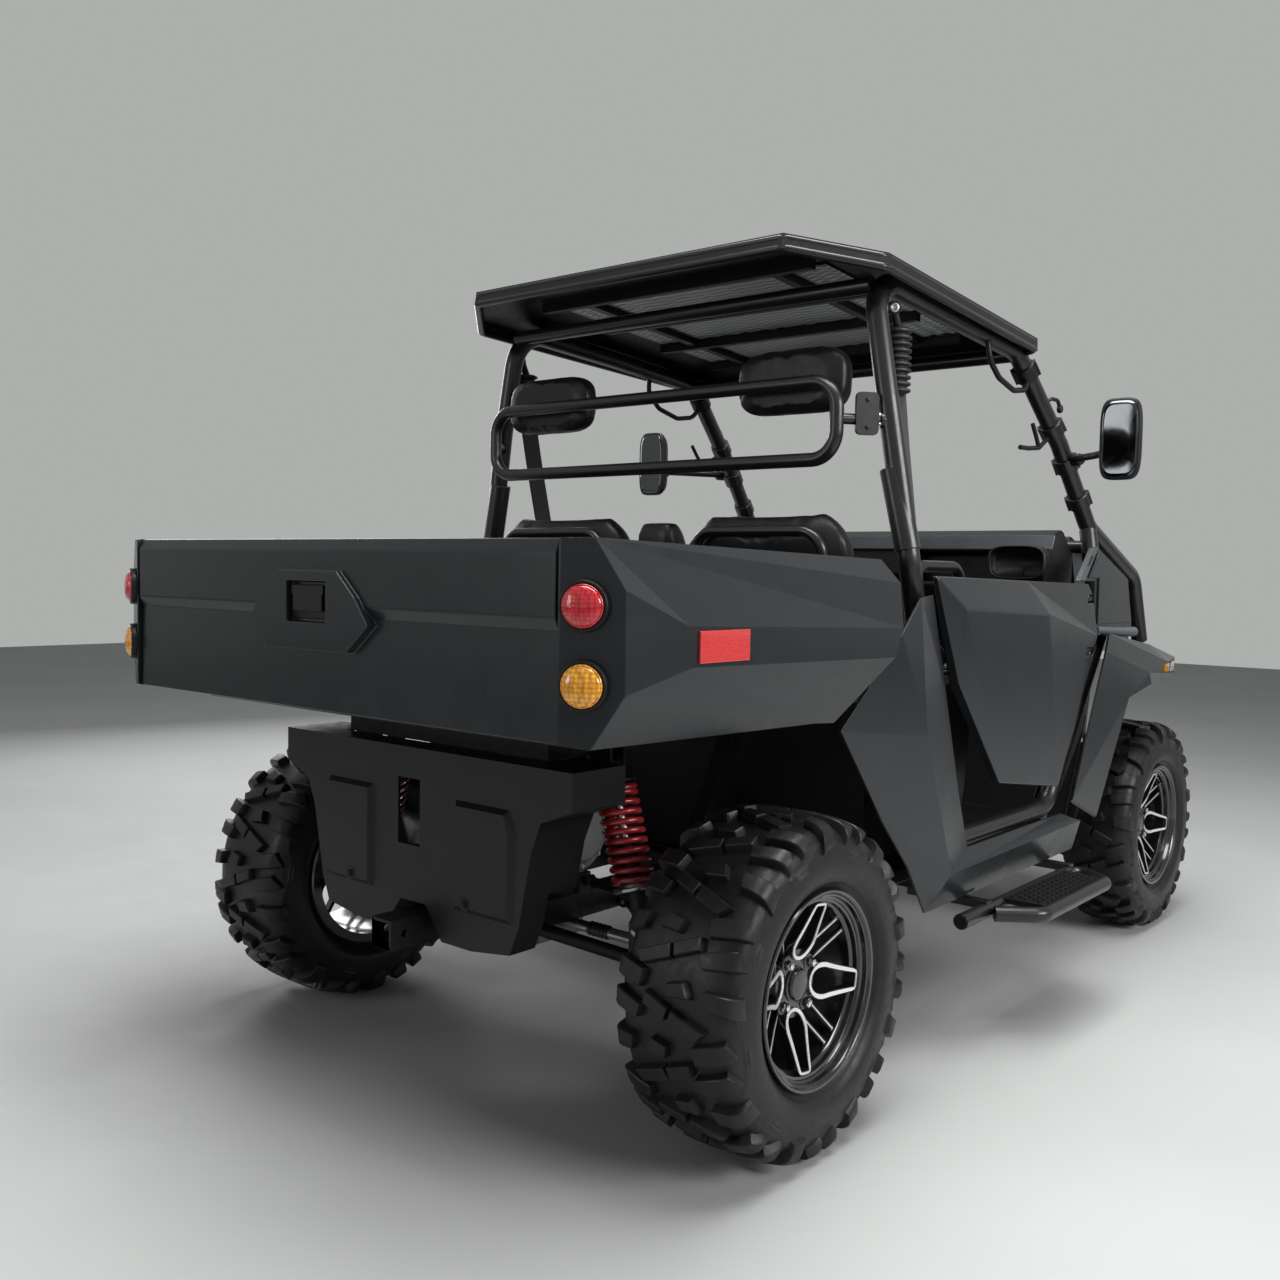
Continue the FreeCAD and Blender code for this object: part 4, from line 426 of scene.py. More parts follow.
def lathe(shape, profile, centre, axis, around=32, number=0, closed=False, start=0.0):
    """A turned shape: (radius, height) pairs about an axis; a zero radius at an end makes a pole."""
    axis = unit(axis)
    first = unit(np.cross(axis, (0, 0, 1)) if abs(axis[2]) < 0.9 else np.cross(axis, (0, 1, 0)))
    second = np.cross(axis, first)
    turns = start + 2 * math.pi * np.arange(around) / around
    ring = first * np.cos(turns)[:, None] + second * np.sin(turns)[:, None]
    profile = np.array(profile, float)
    radii = np.maximum(profile[:, 0], 1e-4)
    points = centre + axis * profile[:, 1][:, None, None] + ring[None] * radii[:, None, None]
    return shape.grid(points, close_u=closed, caps=not closed, number=number)


def pin(shape, foot, axis, radius, length, around=20, number=0, low=0.0):
    """A plain round or many-sided pin, from low to length along its axis."""
    profile = [(0, low), (radius, low), (radius, length), (0, length)]
    return lathe(shape, profile, foot, axis, around, number)


def block(shape, low, high, number=0, smooth=False):
    """A plain block between two corners, for a bevelled piece."""
    (x0, y0, z0), (x1, y1, z1) = np.minimum(low, high), np.maximum(low, high)
    corners = [(x, y, z) for x in (x0, x1) for y in (y0, y1) for z in (z0, z1)]
    faces = [[0, 1, 3, 2], [4, 6, 7, 5], [0, 4, 5, 1], [2, 3, 7, 6], [0, 2, 6, 4], [1, 5, 7, 3]]
    return shape.add(corners, faces, number, smooth)


def slab(shape, outline, depth, origin, across, up, number=0, back=0.0):
    """A flat plate: an outline of (across, up) pairs pushed out along their common normal."""
    across, up = unit(across), unit(up)
    out = np.cross(across, up)
    flat = np.array(outline, float)
    ring = origin + flat[:, :1] * across + flat[:, 1:] * up
    points = np.stack([ring + out * back, ring + out * depth])
    area = np.sum(flat[:, 0] * np.roll(flat[:, 1], -1) - np.roll(flat[:, 0], -1) * flat[:, 1])
    count = len(flat)
    order = list(range(count)) if area > 0 else list(range(count))[::-1]
    faces = [[count + i for i in order], order[::-1]]
    for i, j in zip(order, order[1:] + order[:1]):
        faces.append([i, j, count + j, count + i])
    return shape.add(points.reshape(-1, 3), faces, number, False)


def bolt(shape, place, direction, radius=0.009, height=0.007, number=0):
    """A washer and a six-sided head with a chamfer."""
    lathe(shape, [(0, 0), (radius * 1.35, 0), (radius * 1.35, height * 0.25), (radius, height * 0.3)],
          place, direction, 20, number)
    lathe(shape, [(radius, height * 0.2), (radius, height * 0.85), (radius * 0.86, height), (0, height)],
          place, direction, 6, number)
    return shape


def softened(node, slot, width=0.004, edge_slot=None, angle=20, name=None, segments=3, moved=()):
    """A CAD node's own form with rolled edges: facets merged, then each edge bevelled as far as its faces allow.
    moved holds (old corner, new corner) pairs for corners whose fold the real panel makes stronger."""
    source = frame["nodes"][node]
    mesh = source.data.copy()
    mesh.materials.clear()
    mesh.materials.append(MATERIALS[slot])
    if edge_slot:
        mesh.materials.append(MATERIALS[edge_slot])
    work = bmesh.new()
    work.from_mesh(mesh)
    bmesh.ops.remove_doubles(work, verts=work.verts, dist=2e-5)
    bmesh.ops.dissolve_limit(work, angle_limit=math.radians(1.5), verts=work.verts, edges=work.edges)
    bmesh.ops.recalc_face_normals(work, faces=work.faces)
    for old, new in moved:
        for vertex in work.verts:
            if (vertex.co - Vector(old)).length < 0.003:
                vertex.co = Vector(new)
    layer = work.edges.layers.float.new("bevel_weight_edge")
    limit = math.radians(angle)
    for edge in work.edges:
        if len(edge.link_faces) == 2 and edge.calc_face_angle(0.0) > limit:
            breadth = min(face.calc_area() / max(edge.calc_length(), 1e-4) for face in edge.link_faces)
            near = min(e.calc_length() for v in edge.verts for e in v.link_edges)
            corner = 1.0
            for vertex in edge.verts:
                along = (edge.other_vert(vertex).co - vertex.co).normalized()
                for other in vertex.link_edges:
                    if other is not edge:
                        way = (other.other_vert(vertex).co - vertex.co).normalized()
                        corner = min(corner, math.sqrt(max(0.0, 1 - max(0.0, along.dot(way)) ** 2)))
            edge[layer] = max(0.02, min(1.0, 0.4 * breadth / width, 0.4 * near / width) * min(1.0, 1.5 * corner))
    for face in work.faces:
        face.smooth = True
        face.material_index = 0
    work.to_mesh(mesh)
    work.free()
    item = bpy.data.objects.new(name or f"{node}_form", mesh)
    bpy.context.scene.collection.objects.link(item)
    roll = item.modifiers.new("rolled_edges", "BEVEL")
    roll.width = width
    roll.segments = segments
    roll.limit_method = "WEIGHT"
    roll.use_clamp_overlap = True
    roll.miter_outer = "MITER_SHARP"
    # Bevel faces take the edge slot's material, a lighter copy meant as painted highlight along the rolled edges.
    if edge_slot:
        roll.material = 1
    item.modifiers.new("shading", "WEIGHTED_NORMAL").keep_sharp = False
    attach(item, source["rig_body"])
    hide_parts(node)
    return item


# Wheels

TYRE = {
    "front": dict(ahead=WHEELBASE, lip_y=0.744, width=0.221),
    "rear": dict(ahead=0.0, lip_y=0.791, width=0.268),
}
TYRE_RADIUS = 0.327
LIP_RADIUS = 0.190
TYRE_BULGE = 0.015


def step_up(value, low, high):
    """0 below low, 1 above high and a smooth rise between them."""
    share = np.clip((value - low) / (high - low), 0, 1)
    return share * share * (3 - 2 * share)


CARCASS_TURNS = 270
CARCASS_PLACES = 112
TREAD_PITCHES = 9
# Tread blocks: four corners as (degrees behind the pitch's start, place over the section: 0 the crown's middle,
# 0.9 the shoulder, 1.3 the side wall; below 0 past the middle). Long split bars cross the middle, three shoulder
# blocks and a small one fill each pitch.
TREAD_BLOCKS = [
    [(0.6, -0.36), (4.1, 0.03), (8.2, -0.02), (4.8, -0.38)],
    [(4.6, 0.09), (9.3, 0.61), (12.7, 0.48), (8.9, 0.04)],
    [(14.4, 0.42), (11.5, 0.88), (17.2, 1.06), (20.0, 0.47)],
    [(25.4, 0.42), (22.0, 0.88), (27.4, 1.10), (30.0, 0.48)],
    [(-3.6, 0.56), (-3.2, 1.14), (4.4, 1.22), (1.8, 0.61)],
    [(-3.3, -0.02), (-4.8, 0.24), (-0.1, 0.34), (0.7, 0.02)],
]
TREAD_START = 41.5
BLOCK_CHAMFER = 0.0018
BLOCK_DRAFT = 0.0028
# Raised rings of the side wall: height, radius, breadth, and 1 where the ring waves with the tread
WALL_RINGS = [(0.0026, 0.2745, 0.0021, 1), (0.0018, 0.2660, 0.0017, 1), (0.0016, 0.2060, 0.0022, 0),
              (0.0012, 0.2200, 0.0013, 0)]
WAVE_HEIGHT = 0.0105
BEAD_RADIUS = 0.1775


def tyre_section(width):
    """Columns: place, carcass side, carcass radius, block-top side, block-top radius, from the crown's middle out."""
    half = width / 2
    return np.array([
        (0.00, 0.000, 0.3105, 0.000, 0.3270), (0.30, 0.150 * width, 0.3102, 0.150 * width, 0.3268),
        (0.60, 0.300 * width, 0.3080, 0.302 * width, 0.3245), (0.80, half - 0.027, 0.3015, half - 0.021, 0.3180),
        (0.92, half - 0.016, 0.2935, half - 0.008, 0.3085), (1.00, half - 0.0105, 0.2845, half - 0.0025, 0.2970),
        (1.15, half - 0.0070, 0.2710, half - 0.0005, 0.2770), (1.30, half - 0.0035, 0.2570, half - 0.0001, 0.2600),
        (1.40, half - 0.0020, 0.2470, half, 0.2480),
    ])


def on_section(table, place, share):
    """Side and radius at a place over the section, share 0 on the carcass and 1 on the block tops."""
    low_side, low_radius, top_side, top_radius = (np.interp(np.abs(place), table[:, 0], table[:, i])
                                                  for i in range(1, 5))
    side = low_side + (top_side - low_side) * share
    return side * np.sign(place), low_radius + (top_radius - low_radius) * share


def tread_block(table, corners):
    """One block: a bilinear patch between its corners, chamfered round its top and drafted down into the carcass.
    Returns rows of (turn, side, radius)."""
    turns, quads = np.radians([c[0] for c in corners]), [c[1] for c in corners]
    lengths = (abs(turns[3] - turns[0]) * TYRE_RADIUS, max(np.ptp(quads), 0.2) * 0.16)
    places, shares = [], []
    for length, inner in zip(lengths, (5, 9)):
        chamfer, draft = BLOCK_CHAMFER / length, BLOCK_DRAFT / length
        places.append(np.concatenate([[-draft, 0.0], np.linspace(chamfer, 1 - chamfer, inner), [1.0, 1 + draft]]))
        shares.append(np.concatenate([[-0.2, 0.88], np.ones(inner), [0.88, -0.2]]))
    a, b = np.meshgrid(places[0], places[1], indexing="ij")
    weights = ((1 - a) * (1 - b), (1 - a) * b, a * b, a * (1 - b))
    turn = sum(weight * value for weight, value in zip(weights, turns))
    place = sum(weight * value for weight, value in zip(weights, quads))
    side, radius = on_section(table, place, np.minimum.outer(shares[0], shares[1]))
    return np.stack([turn, side, radius], -1)


def tyre_shape(width):
    """A tyre: the carcass is one surface of two parameters (round the wheel, and over the section from bead to
    bead, with raised bead rings and a waved ridge), and each tread block is a closed patch standing on it."""
    half = width / 2
    bead_y = half - TYRE_BULGE - 0.011
    table = tyre_section(width)
    crown = table[:, 1:3]
    wall = np.array([(half - 0.0012, 0.238), (half - 0.0012, 0.226), (half - 0.0045, 0.212),
                     (bead_y + 0.0035, 0.1985), (bead_y + 0.001, 0.188)])
    keys = np.vstack([crown, wall])
    keys = np.vstack([keys[::-1] * (-1, 1), keys[1:]])
    arc = np.concatenate([[0], np.cumsum(np.hypot(*np.diff(keys, axis=0).T))])
    spread = np.linspace(0, arc[-1], CARCASS_PLACES)
    side, radius = (np.interp(spread, arc, keys[:, i]) for i in range(2))
    kernel = np.array([1, 3, 4, 3, 1]) / 12
    for _ in range(3):
        side[2:-2] = np.convolve(side, kernel, "valid")
        radius[2:-2] = np.convolve(radius, kernel, "valid")
    slope_side, slope_radius = np.gradient(side), np.gradient(radius)
    length = np.hypot(slope_side, slope_radius)
    out_side, out_radius = -slope_radius / length, slope_side / length
    turns = 2 * math.pi * np.arange(CARCASS_TURNS) / CARCASS_TURNS
    start = math.radians(90 + TREAD_START)
    wave = np.cos((turns[:, None] - start) * TREAD_PITCHES) * np.where(side > 0, 1.0, -1.0)[None]
    wave = WAVE_HEIGHT * np.tanh(1.6 * wave)
    rings = [height * np.exp(-((radius[None] - at_radius - waved * wave) / breadth) ** 2)
             for height, at_radius, breadth, waved in WALL_RINGS]
    push = np.max(rings, axis=0) * (np.abs(out_side) > 0.5)
    all_side = np.clip(side[None] + out_side[None] * push, -half + 0.0002, half - 0.0002)
    all_radius = radius[None] + out_radius[None] * push
    cosines, sines = np.cos(turns)[:, None], np.sin(turns)[:, None]
    ends = [np.stack([BEAD_RADIUS * cosines, np.full((CARCASS_TURNS, 1), y), BEAD_RADIUS * sines], -1)
            for y in (0.002 - bead_y, bead_y - 0.002)]
    points = np.stack([all_radius * cosines, all_side, all_radius * sines], -1)
    tyre = Shape().grid(np.concatenate([ends[0], points, ends[1]], 1), close_u=True, caps=False)
    step = 2 * math.pi / TREAD_PITCHES
    for corners in TREAD_BLOCKS:
        patch = tread_block(table, corners)
        rows, columns = patch.shape[:2]
        rim = ([(0, j) for j in range(columns)] + [(i, columns - 1) for i in range(1, rows)]
               + [(rows - 1, j) for j in range(columns - 2, -1, -1)] + [(i, 0) for i in range(rows - 2, 0, -1)])
        foot = [i * columns + j for i, j in rim[::-1]]
        for sign, shift in ((1, 0.0), (-1, 0.5)):
            for number in range(TREAD_PITCHES):
                turn = -(patch[..., 0] + math.radians(TREAD_START) + (number + shift) * step)
                block_points = np.stack([patch[..., 2] * np.sin(turn), sign * patch[..., 1],
                                         patch[..., 2] * np.cos(turn)], -1)
                tyre.grid(block_points, close_v=False, caps=False, extra=[foot])
    return tyre


def turned_points(points, turn):
    """Points turned about the Y axis as the wheel turns."""
    c, s = math.cos(turn), math.sin(turn)
    points = np.asarray(points, float)
    return np.stack([points[..., 0] * c + points[..., 2] * s, points[..., 1],
                     -points[..., 0] * s + points[..., 2] * c], -1)


def turned(shape, turn):
    """A copy of a shape, turned about the Y axis."""
    other = Shape().join(shape)
    other.vertices = [turned_points(points, turn) for points in other.vertices]
    return other


def band(shape, route, widths, top, bottom, lip, number, closed=True):
    """A bar of rectangular section along a route in the wheel's plane; route rows are (along, across, depth),
    depth measured in from the lip, and top and bottom are heights above that depth."""
    route = np.array(route, float)
    if closed:
        tangents = np.roll(route, -1, 0) - np.roll(route, 1, 0)
    else:
        tangents = np.gradient(route, axis=0)
    tangents = tangents[:, :2] / np.linalg.norm(tangents[:, :2], axis=1)[:, None]
    normals = np.stack([-tangents[:, 1], tangents[:, 0]], 1) * np.asarray(widths, float)[:, None] / 2
    ring = []
    for way, height in ((-1, bottom), (1, bottom), (1, top), (-1, top)):
        flat = route[:, :2] + normals * way
        ring.append(np.stack([flat[:, 1], lip - route[:, 2] + height, flat[:, 0]], 1))
    return shape.grid(np.stack(ring, 1), close_u=closed, caps=not closed, number=number)


SPOKES = 4
SPOKE_TURN = math.radians(7.7)
FACE_DEPTH = 0.058


def u_route():
    """Centre line of a U-shaped spoke: a half circle at the hub, two legs that come closer outwards, a short
    closing line at the outer end; the depth falls from the hub's to the outer end's."""
    turn = np.linspace(math.pi / 2 - 0.15, 3 * math.pi / 2 + 0.15, 13)
    bow = np.stack([0.080 + 0.0315 * np.cos(turn), 0.0315 * np.sin(turn)], 1)
    legs = np.array([(0.120, 0.0235), (0.1505, 0.0185), (0.1560, 0.0165), (0.1578, 0.0125), (0.1582, 0.0)])
    near = np.array([(0.100, -0.0275)])
    flat = np.vstack([bow, near, legs * (1, -1), legs[-2::-1], near * (1, -1)])
    depth = np.interp(flat[:, 0], (0.050, 0.062, 0.158), (FACE_DEPTH, FACE_DEPTH - 0.003, 0.020))
    widths = np.interp(flat[:, 0], (0.050, 0.075, 0.150, 0.158), (0.0062, 0.0088, 0.0066, 0.0040))
    return np.column_stack([flat, depth]), widths


def rim_shape(width):
    """The rim: a stepped barrel turned about Y, four open U-shaped spokes with bright faces that rise outwards
    from a deep hub, a pair of thin straight spokes behind each gap, four lug nuts and a domed cap."""
    lip = width / 2 - TYRE_BULGE
    rim = Shape()
    outside = [(0.165, -lip), (0.186, -lip), (LIP_RADIUS, -lip + 0.003), (LIP_RADIUS - 0.001, -lip + 0.007),
               (0.1762, -lip + 0.013), (0.1762, lip - 0.013), (LIP_RADIUS - 0.001, lip - 0.007),
               (LIP_RADIUS, lip - 0.003), (0.1880, lip), (0.1835, lip - 0.0002), (0.1805, lip - 0.0030),
               (0.1795, lip - 0.0060), (0.1765, lip - 0.0075), (0.1745, lip - 0.0160), (0.1700, lip - 0.0185),
               (0.1690, lip - 0.0210), (0.1640, lip - 0.0220), (0.1625, lip - 0.0310), (0.1570, lip - 0.0335),
               (0.1555, lip - 0.0350), (0.1545, lip - 0.0620), (0.1580, lip - 0.0800), (0.165, -lip)]
    lathe(rim, outside, np.zeros(3), (0, 1, 0), 96, 0, closed=True)
    hub_y = lip - FACE_DEPTH
    hub = [(0, hub_y - 0.042), (0.052, hub_y - 0.042), (0.060, hub_y - 0.018), (0.0665, hub_y - 0.006),
           (0.0650, hub_y - 0.0035), (0.040, hub_y - 0.0030), (0, hub_y - 0.0030)]
    lathe(rim, hub, np.zeros(3), (0, 1, 0), 48, 0)
    cap = [(0, hub_y - 0.004), (0.0350, hub_y - 0.004), (0.0350, hub_y + 0.0005), (0.0315, hub_y + 0.0015),
           (0.0305, hub_y + 0.0060), (0.0275, hub_y + 0.0095), (0.0180, hub_y + 0.0115), (0, hub_y + 0.0118)]
    lathe(rim, cap, np.zeros(3), (0, 1, 0), 40, 0)
    route, widths = u_route()
    for i in range(SPOKES):
        turn = SPOKE_TURN + 2 * math.pi * i / SPOKES
        arm = Shape()
        band(arm, route, widths + 0.0030, 0.0, -0.019, lip, 0)
        band(arm, route, widths, 0.0012, -0.001, lip, 1)
        rim.join(turned(arm, turn))
        pair = Shape()
        for way in (-0.0170, 0.0170):
            bar = [(0.050, way, 0.076), (0.100, way, 0.060), (0.1600, way, 0.038)]
            band(pair, bar, [0.0090] * 3, 0.0, -0.008, lip, 0, closed=False)
            line = [(0.060, way, 0.0728), (0.100, way, 0.060), (0.1535, way, 0.0404)]
            band(pair, line, [0.0026] * 3, 0.0006, -0.001, lip, 1, closed=False)
        gap_turn = turn + math.pi / SPOKES
        rim.join(turned(pair, gap_turn))
        seat = turned_points(np.array([0.0, hub_y - 0.006, 0.0550]), gap_turn)
        lathe(rim, [(0, 0), (0.0165, 0), (0.0150, 0.0045), (0.0115, 0.0050), (0.0110, 0.0030), (0, 0.0030)], seat,
              (0, 1, 0), 24, 0)
        lathe(rim, [(0.0090, 0.002), (0.0090, 0.0150), (0.0072, 0.0185), (0.0035, 0.0200), (0, 0.0202)], seat,
              (0, 1, 0), 6, 2)
    valve = turned_points(np.array([0.0, lip - 0.036, 0.1555]), SPOKE_TURN + 0.42)
    lathe(rim, [(0, 0), (0.0042, 0), (0.0035, 0.014), (0.0045, 0.015), (0.0045, 0.022), (0, 0.0225)], valve,
          unit(turned_points(np.array([0.0, 0.75, -0.66]), SPOKE_TURN + 0.42)), 12, 0)
    return rim


WHEEL_FINISH = {"tyre": ("tyre", 28), "rim": (["rim_gloss", "bright", "lug_bright"], 32)}


def build_wheels():
    """The four tyres and rims: each end's shapes are made once, moved to the axle and mirrored for the right."""
    for end, spec in TYRE.items():
        tyre, rim = tyre_shape(spec["width"]), rim_shape(spec["width"])
        centre = at(spec["ahead"], spec["lip_y"] + TYRE_BULGE - spec["width"] / 2, AXLE_Z)
        for sign in SIDES:
            for kind, shape in (("tyre", tyre), ("rim", rim)):
                placed = Shape().join(shape)
                placed.vertices = [points + centre for points in placed.vertices]
                if sign < 0:
                    placed = placed.mirrored()
                node = f"{kind}_{end}_{SIDE_NAME[sign]}"
                body = f"wheel_{end}_{SIDE_NAME[sign]}"
                slots, crease = WHEEL_FINISH[kind]
                piece(f"{node}_form", placed, body, slots, node, weld=True, crease=crease)


build_wheels()


# Body panels and mouldings: the source's own forms with rolled edges

DOOR_FOLDS = [((0.552, 0.742, 1.108), (0.552, 0.722, 1.106)), ((1.030, 0.746, 1.100), (1.030, 0.726, 1.099)),
              ((1.480, 0.726, 1.092), (1.480, 0.716, 1.092))]


def build_panels():
    """Painted panels with narrow rolled edges, mouldings with wider ones and the square tubes of the frame."""
    for sign in SIDES:
        side = SIDE_NAME[sign]
        softened(f"bed_side_{side}", "body_panel", 0.009, angle=3)
        softened(f"side_panel_{side}", "body_panel", 0.007, angle=3)
        softened(f"front_fender_{side}", "body_panel", 0.022, angle=3, segments=5)
        folds = [(at(a, sign * y, z), at(b, sign * s, h)) for (a, y, z), (b, s, h) in DOOR_FOLDS]
        softened(f"door_{side}", "body_panel", 0.006, angle=3, moved=folds)
    softened("hood", "body_panel", 0.010, angle=3)
    softened("tailgate", "body_panel", 0.007, angle=6)
    for node, edge in (("rear_cover", 0.012), ("floor_pan", 0.006), ("seat_base", 0.012), ("dash_panel", 0.012)):
        softened(node, "moulded_black", edge)
    for node in ("bed_tub", "chassis_frame", "rear_frame", "front_frame", "bed_rails", "hitch_receiver"):
        softened(node, "frame_black", 0.004)
    softened("battery_box", "battery_grey", 0.008)


build_panels()


# Cab tubes

CAGE_TUBE = 0.050
SILL = (1.000, 0.675, 0.478)
ROOF_START = (0.900, 0.560, 1.752)
ROOF_END = (1.300, 0.560, 1.722)
SCREEN_TOP = (1.545, 0.592, 1.490)
SCREEN_FOOT = (1.735, 0.612, 1.262)
KNEE = (1.690, 0.675, 0.950)
LOOP_FOOT = (1.320, 0.675, 0.478)
PILLAR_NOSE = [(2.150, 0.612, 1.112), (2.240, 0.612, 0.905)]
REAR_LOOP = [SILL, (0.735, 0.675, 0.478), (0.600, 0.675, 0.830), (0.508, 0.675, 1.140), (0.498, 0.615, 1.500),
             (0.502, 0.565, 1.778), ROOF_START]


def places(route, sign=1):
    """The frame's places of a route, on the left or the right."""
    return [at(a, sign * y, z) for a, y, z in route]


def between(first, second, part):
    """A point part of the way from the first to the second."""
    return tuple(a + (b - a) * part for a, b in zip(first, second))


def sleeve(shape, start, end, radius, number=0, chamfer=0.002, around=28):
    """A turned sleeve over a tube with chamfered ends."""
    start, end = np.array(start), np.array(end)
    length = np.linalg.norm(end - start)
    profile = [(0, 0), (radius - chamfer, 0), (radius, chamfer), (radius, length - chamfer),
               (radius - chamfer, length), (0, length)]
    return lathe(shape, profile, start, end - start, around, number)


CLAMP_OUT = (0.3, 1.0, 0.4)
CLAMP_EAR = 0.009
FLANGE = 0.006


def split_clamp(shape, first, second, start, end, sign, radius):
    """A two-part tube clamp between two shares of a straight tube: a sleeve with a flange on each side. Returns
    its middle."""
    low, high = places([between(first, second, start), between(first, second, end)], sign)
    sleeve(shape, low, high, radius)
    axis, length = unit(high - low), np.linalg.norm(high - low)
    out = np.array(CLAMP_OUT) * (1, sign, 1)
    out = unit(out - axis * (axis @ out))
    outline = [(0, -CLAMP_EAR), (length, -CLAMP_EAR), (length, CLAMP_EAR), (0, CLAMP_EAR)]
    for way in (1, -1):
        slab(shape, outline, FLANGE, low + out * way * (radius - 0.002), axis, np.cross(axis, out), 0, -FLANGE)
    return (low + high) / 2


HINGE_HEIGHTS = (0.905, 1.050)
HINGE_PIN = (1.470, 0.717)
STEP_BRACKETS = (0.780, 1.290)


def build_cage():
    """The cab's bent tubes with their sleeves, split clamps and cross tubes, the door hinges and the step feet."""
    cage = Shape()
    for sign in SIDES:
        for route, bend in ((REAR_LOOP, 0.095), ([SILL, LOOP_FOOT, KNEE, between(KNEE, SCREEN_FOOT, 0.97)], 0.095),
                            ([ROOF_START, ROOF_END, SCREEN_TOP, SCREEN_FOOT] + PILLAR_NOSE, 0.085)):
            tube(cage, places(route, sign), CAGE_TUBE, bend, 28)
        sleeve(cage, at(0.5075, sign * 0.671, 1.163), at(0.5005, sign * 0.630, 1.345), 0.0285)
        out = np.array(CLAMP_OUT) * (1, sign, 1)
        for first, second, start, end in ((ROOF_END, SCREEN_TOP, 0.76, 0.88), (SCREEN_TOP, SCREEN_FOOT, 0.15, 0.30),
                                          (SCREEN_TOP, SCREEN_FOOT, 0.60, 0.74)):
            middle = split_clamp(cage, first, second, start, end, sign, 0.032)
            bolt(cage, middle + unit(out) * 0.029, out, 0.006, 0.006, 1)
    for ahead, y, z in ((0.502, 0.566, 1.756), (1.300, 0.560, 1.714), (1.695, 0.618, 1.200)):
        tube(cage, [at(ahead, -y, z), at(ahead, y, z)], 0.038, around=24)
    for sign in SIDES:
        for ahead in STEP_BRACKETS:
            block(cage, at(ahead - 0.022, sign * 0.652, 0.400), at(ahead + 0.022, sign * 0.688, 0.478))
        for height in HINGE_HEIGHTS:
            lower, upper = (LOOP_FOOT, KNEE) if height < KNEE[2] else (KNEE, SCREEN_FOOT)
            root = places([between(lower, upper, (height - lower[2]) / (upper[2] - lower[2]))], sign)[0]
            axis = at(HINGE_PIN[0], sign * HINGE_PIN[1], height)
            reach = np.linalg.norm(axis - root)
            slab(cage, [(0, -0.006), (reach, -0.006), (reach, 0.006), (0, 0.006)], 0.005, root, axis - root,
                 (0, 0, 1), 0, -0.005)
            lathe(cage, [(0, -0.006), (0.0085, -0.006), (0.009, -0.005), (0.009, 0.005), (0.0085, 0.006), (0, 0.006)],
                  axis, (0, 0, 1), 20)
            lathe(cage, [(0, 0.005), (0.0049, 0.005), (0.0049, 0.027), (0.0035, 0.028), (0, 0.028)], axis, (0, 0, 1),
                  16, 1)
    piece("cage_tubes", cage, "chassis", ["cage_black", "steel"], "cage", bevel=0.0015, bevel_angle=50)


def build_guard():
    """The loop behind the headrests: one closed bent tube with its stays, plates and bolted feet."""
    guard = Shape()
    corners = [(0, 1.362), (0.545, 1.362), (0.545, 1.535), (0, 1.535), (-0.545, 1.535), (-0.545, 1.362), (0, 1.362)]
    loop = rounded_path([at(0.400, y, z) for y, z in corners], 0.062, 10)[:-1]
    ahead = np.tile((1.0, 0, 0), (len(loop), 1))
    inward = np.cross(ahead, loop_tangents(loop))
    guard.grid(ring_points(loop, ahead, inward, 0.016, 20), close_u=True, caps=False)
    for sign in SIDES:
        tube(guard, [at(0.400, sign * 0.545, 1.450), at(0.499, sign * 0.623, 1.450)], 0.024, around=18)
        lathe(guard, [(0, 0), (0.016, 0), (0.0175, 0.003), (0.0175, 0.016), (0.015, 0.019), (0, 0.019)],
              at(0.478, sign * 0.607, 1.450), (0.78, sign * 0.62, 0), 24)
        for height in (1.440, 1.460):
            bolt(guard, at(0.4735, sign * 0.612, height), (-0.78, -sign * 0.62, 0), 0.005, 0.004, 1)
        block(guard, at(0.402, sign * 0.368, 1.523), at(0.4318, sign * 0.412, 1.545))
        bolt(guard, at(0.4165, sign * 0.390, 1.5445), (0, 0, 1), 0.006, 0.0045, 1)
    piece("guard_tubes", guard, "chassis", ["cage_black", "steel"], "rear_guard", bevel=0.002, bevel_angle=50)


SEAT_SIDES = (0.330, -0.330)
HOOP_HALF = 0.190
HIP_Y = 0.618


def build_seat_tubes():
    """A bent hoop behind each backrest and a hip bar beside each seat, with their bolted feet."""
    tubes = Shape()
    for side in SEAT_SIDES:
        half = [(0.454, HOOP_HALF, 0.790), (0.440, HOOP_HALF, 1.000), (0.404, 0.175, 1.205)]
        route = [at(a, side - y, z) for a, y, z in half] + [at(a, side + y, z) for a, y, z in half[::-1]]
        tube(tubes, route, 0.025, 0.055, 18)
        for y in (side - HOOP_HALF, side + HOOP_HALF):
            block(tubes, at(0.448, y - 0.014, 0.776), at(0.4699, y + 0.014, 0.806))
            bolt(tubes, at(0.449, y, 0.7835), (-1, 0, 0), 0.005, 0.004, 1)
    for sign in SIDES:
        tube(tubes, places([(0.640, HIP_Y, 0.730), (0.640, HIP_Y, 1.130), (0.860, HIP_Y, 1.130),
                            (0.960, HIP_Y, 0.960), (0.960, HIP_Y, 0.730)], sign), 0.028, 0.050, 20)
        for ahead in (0.640, 0.960):
            block(tubes, at(ahead - 0.012, sign * 0.6002, 0.730), at(ahead + 0.012, sign * HIP_Y, 0.760))
            bolt(tubes, at(ahead, sign * 0.630, 0.745), (0, sign, 0), 0.0045, 0.003, 1)
    piece("seat_tubes_form", tubes, "chassis", ["cage_black", "steel"], "seat_tubes", bevel=0.002, bevel_angle=50)


BUMPER_TUBE = 0.036
BUMPER_REACH = 2.456


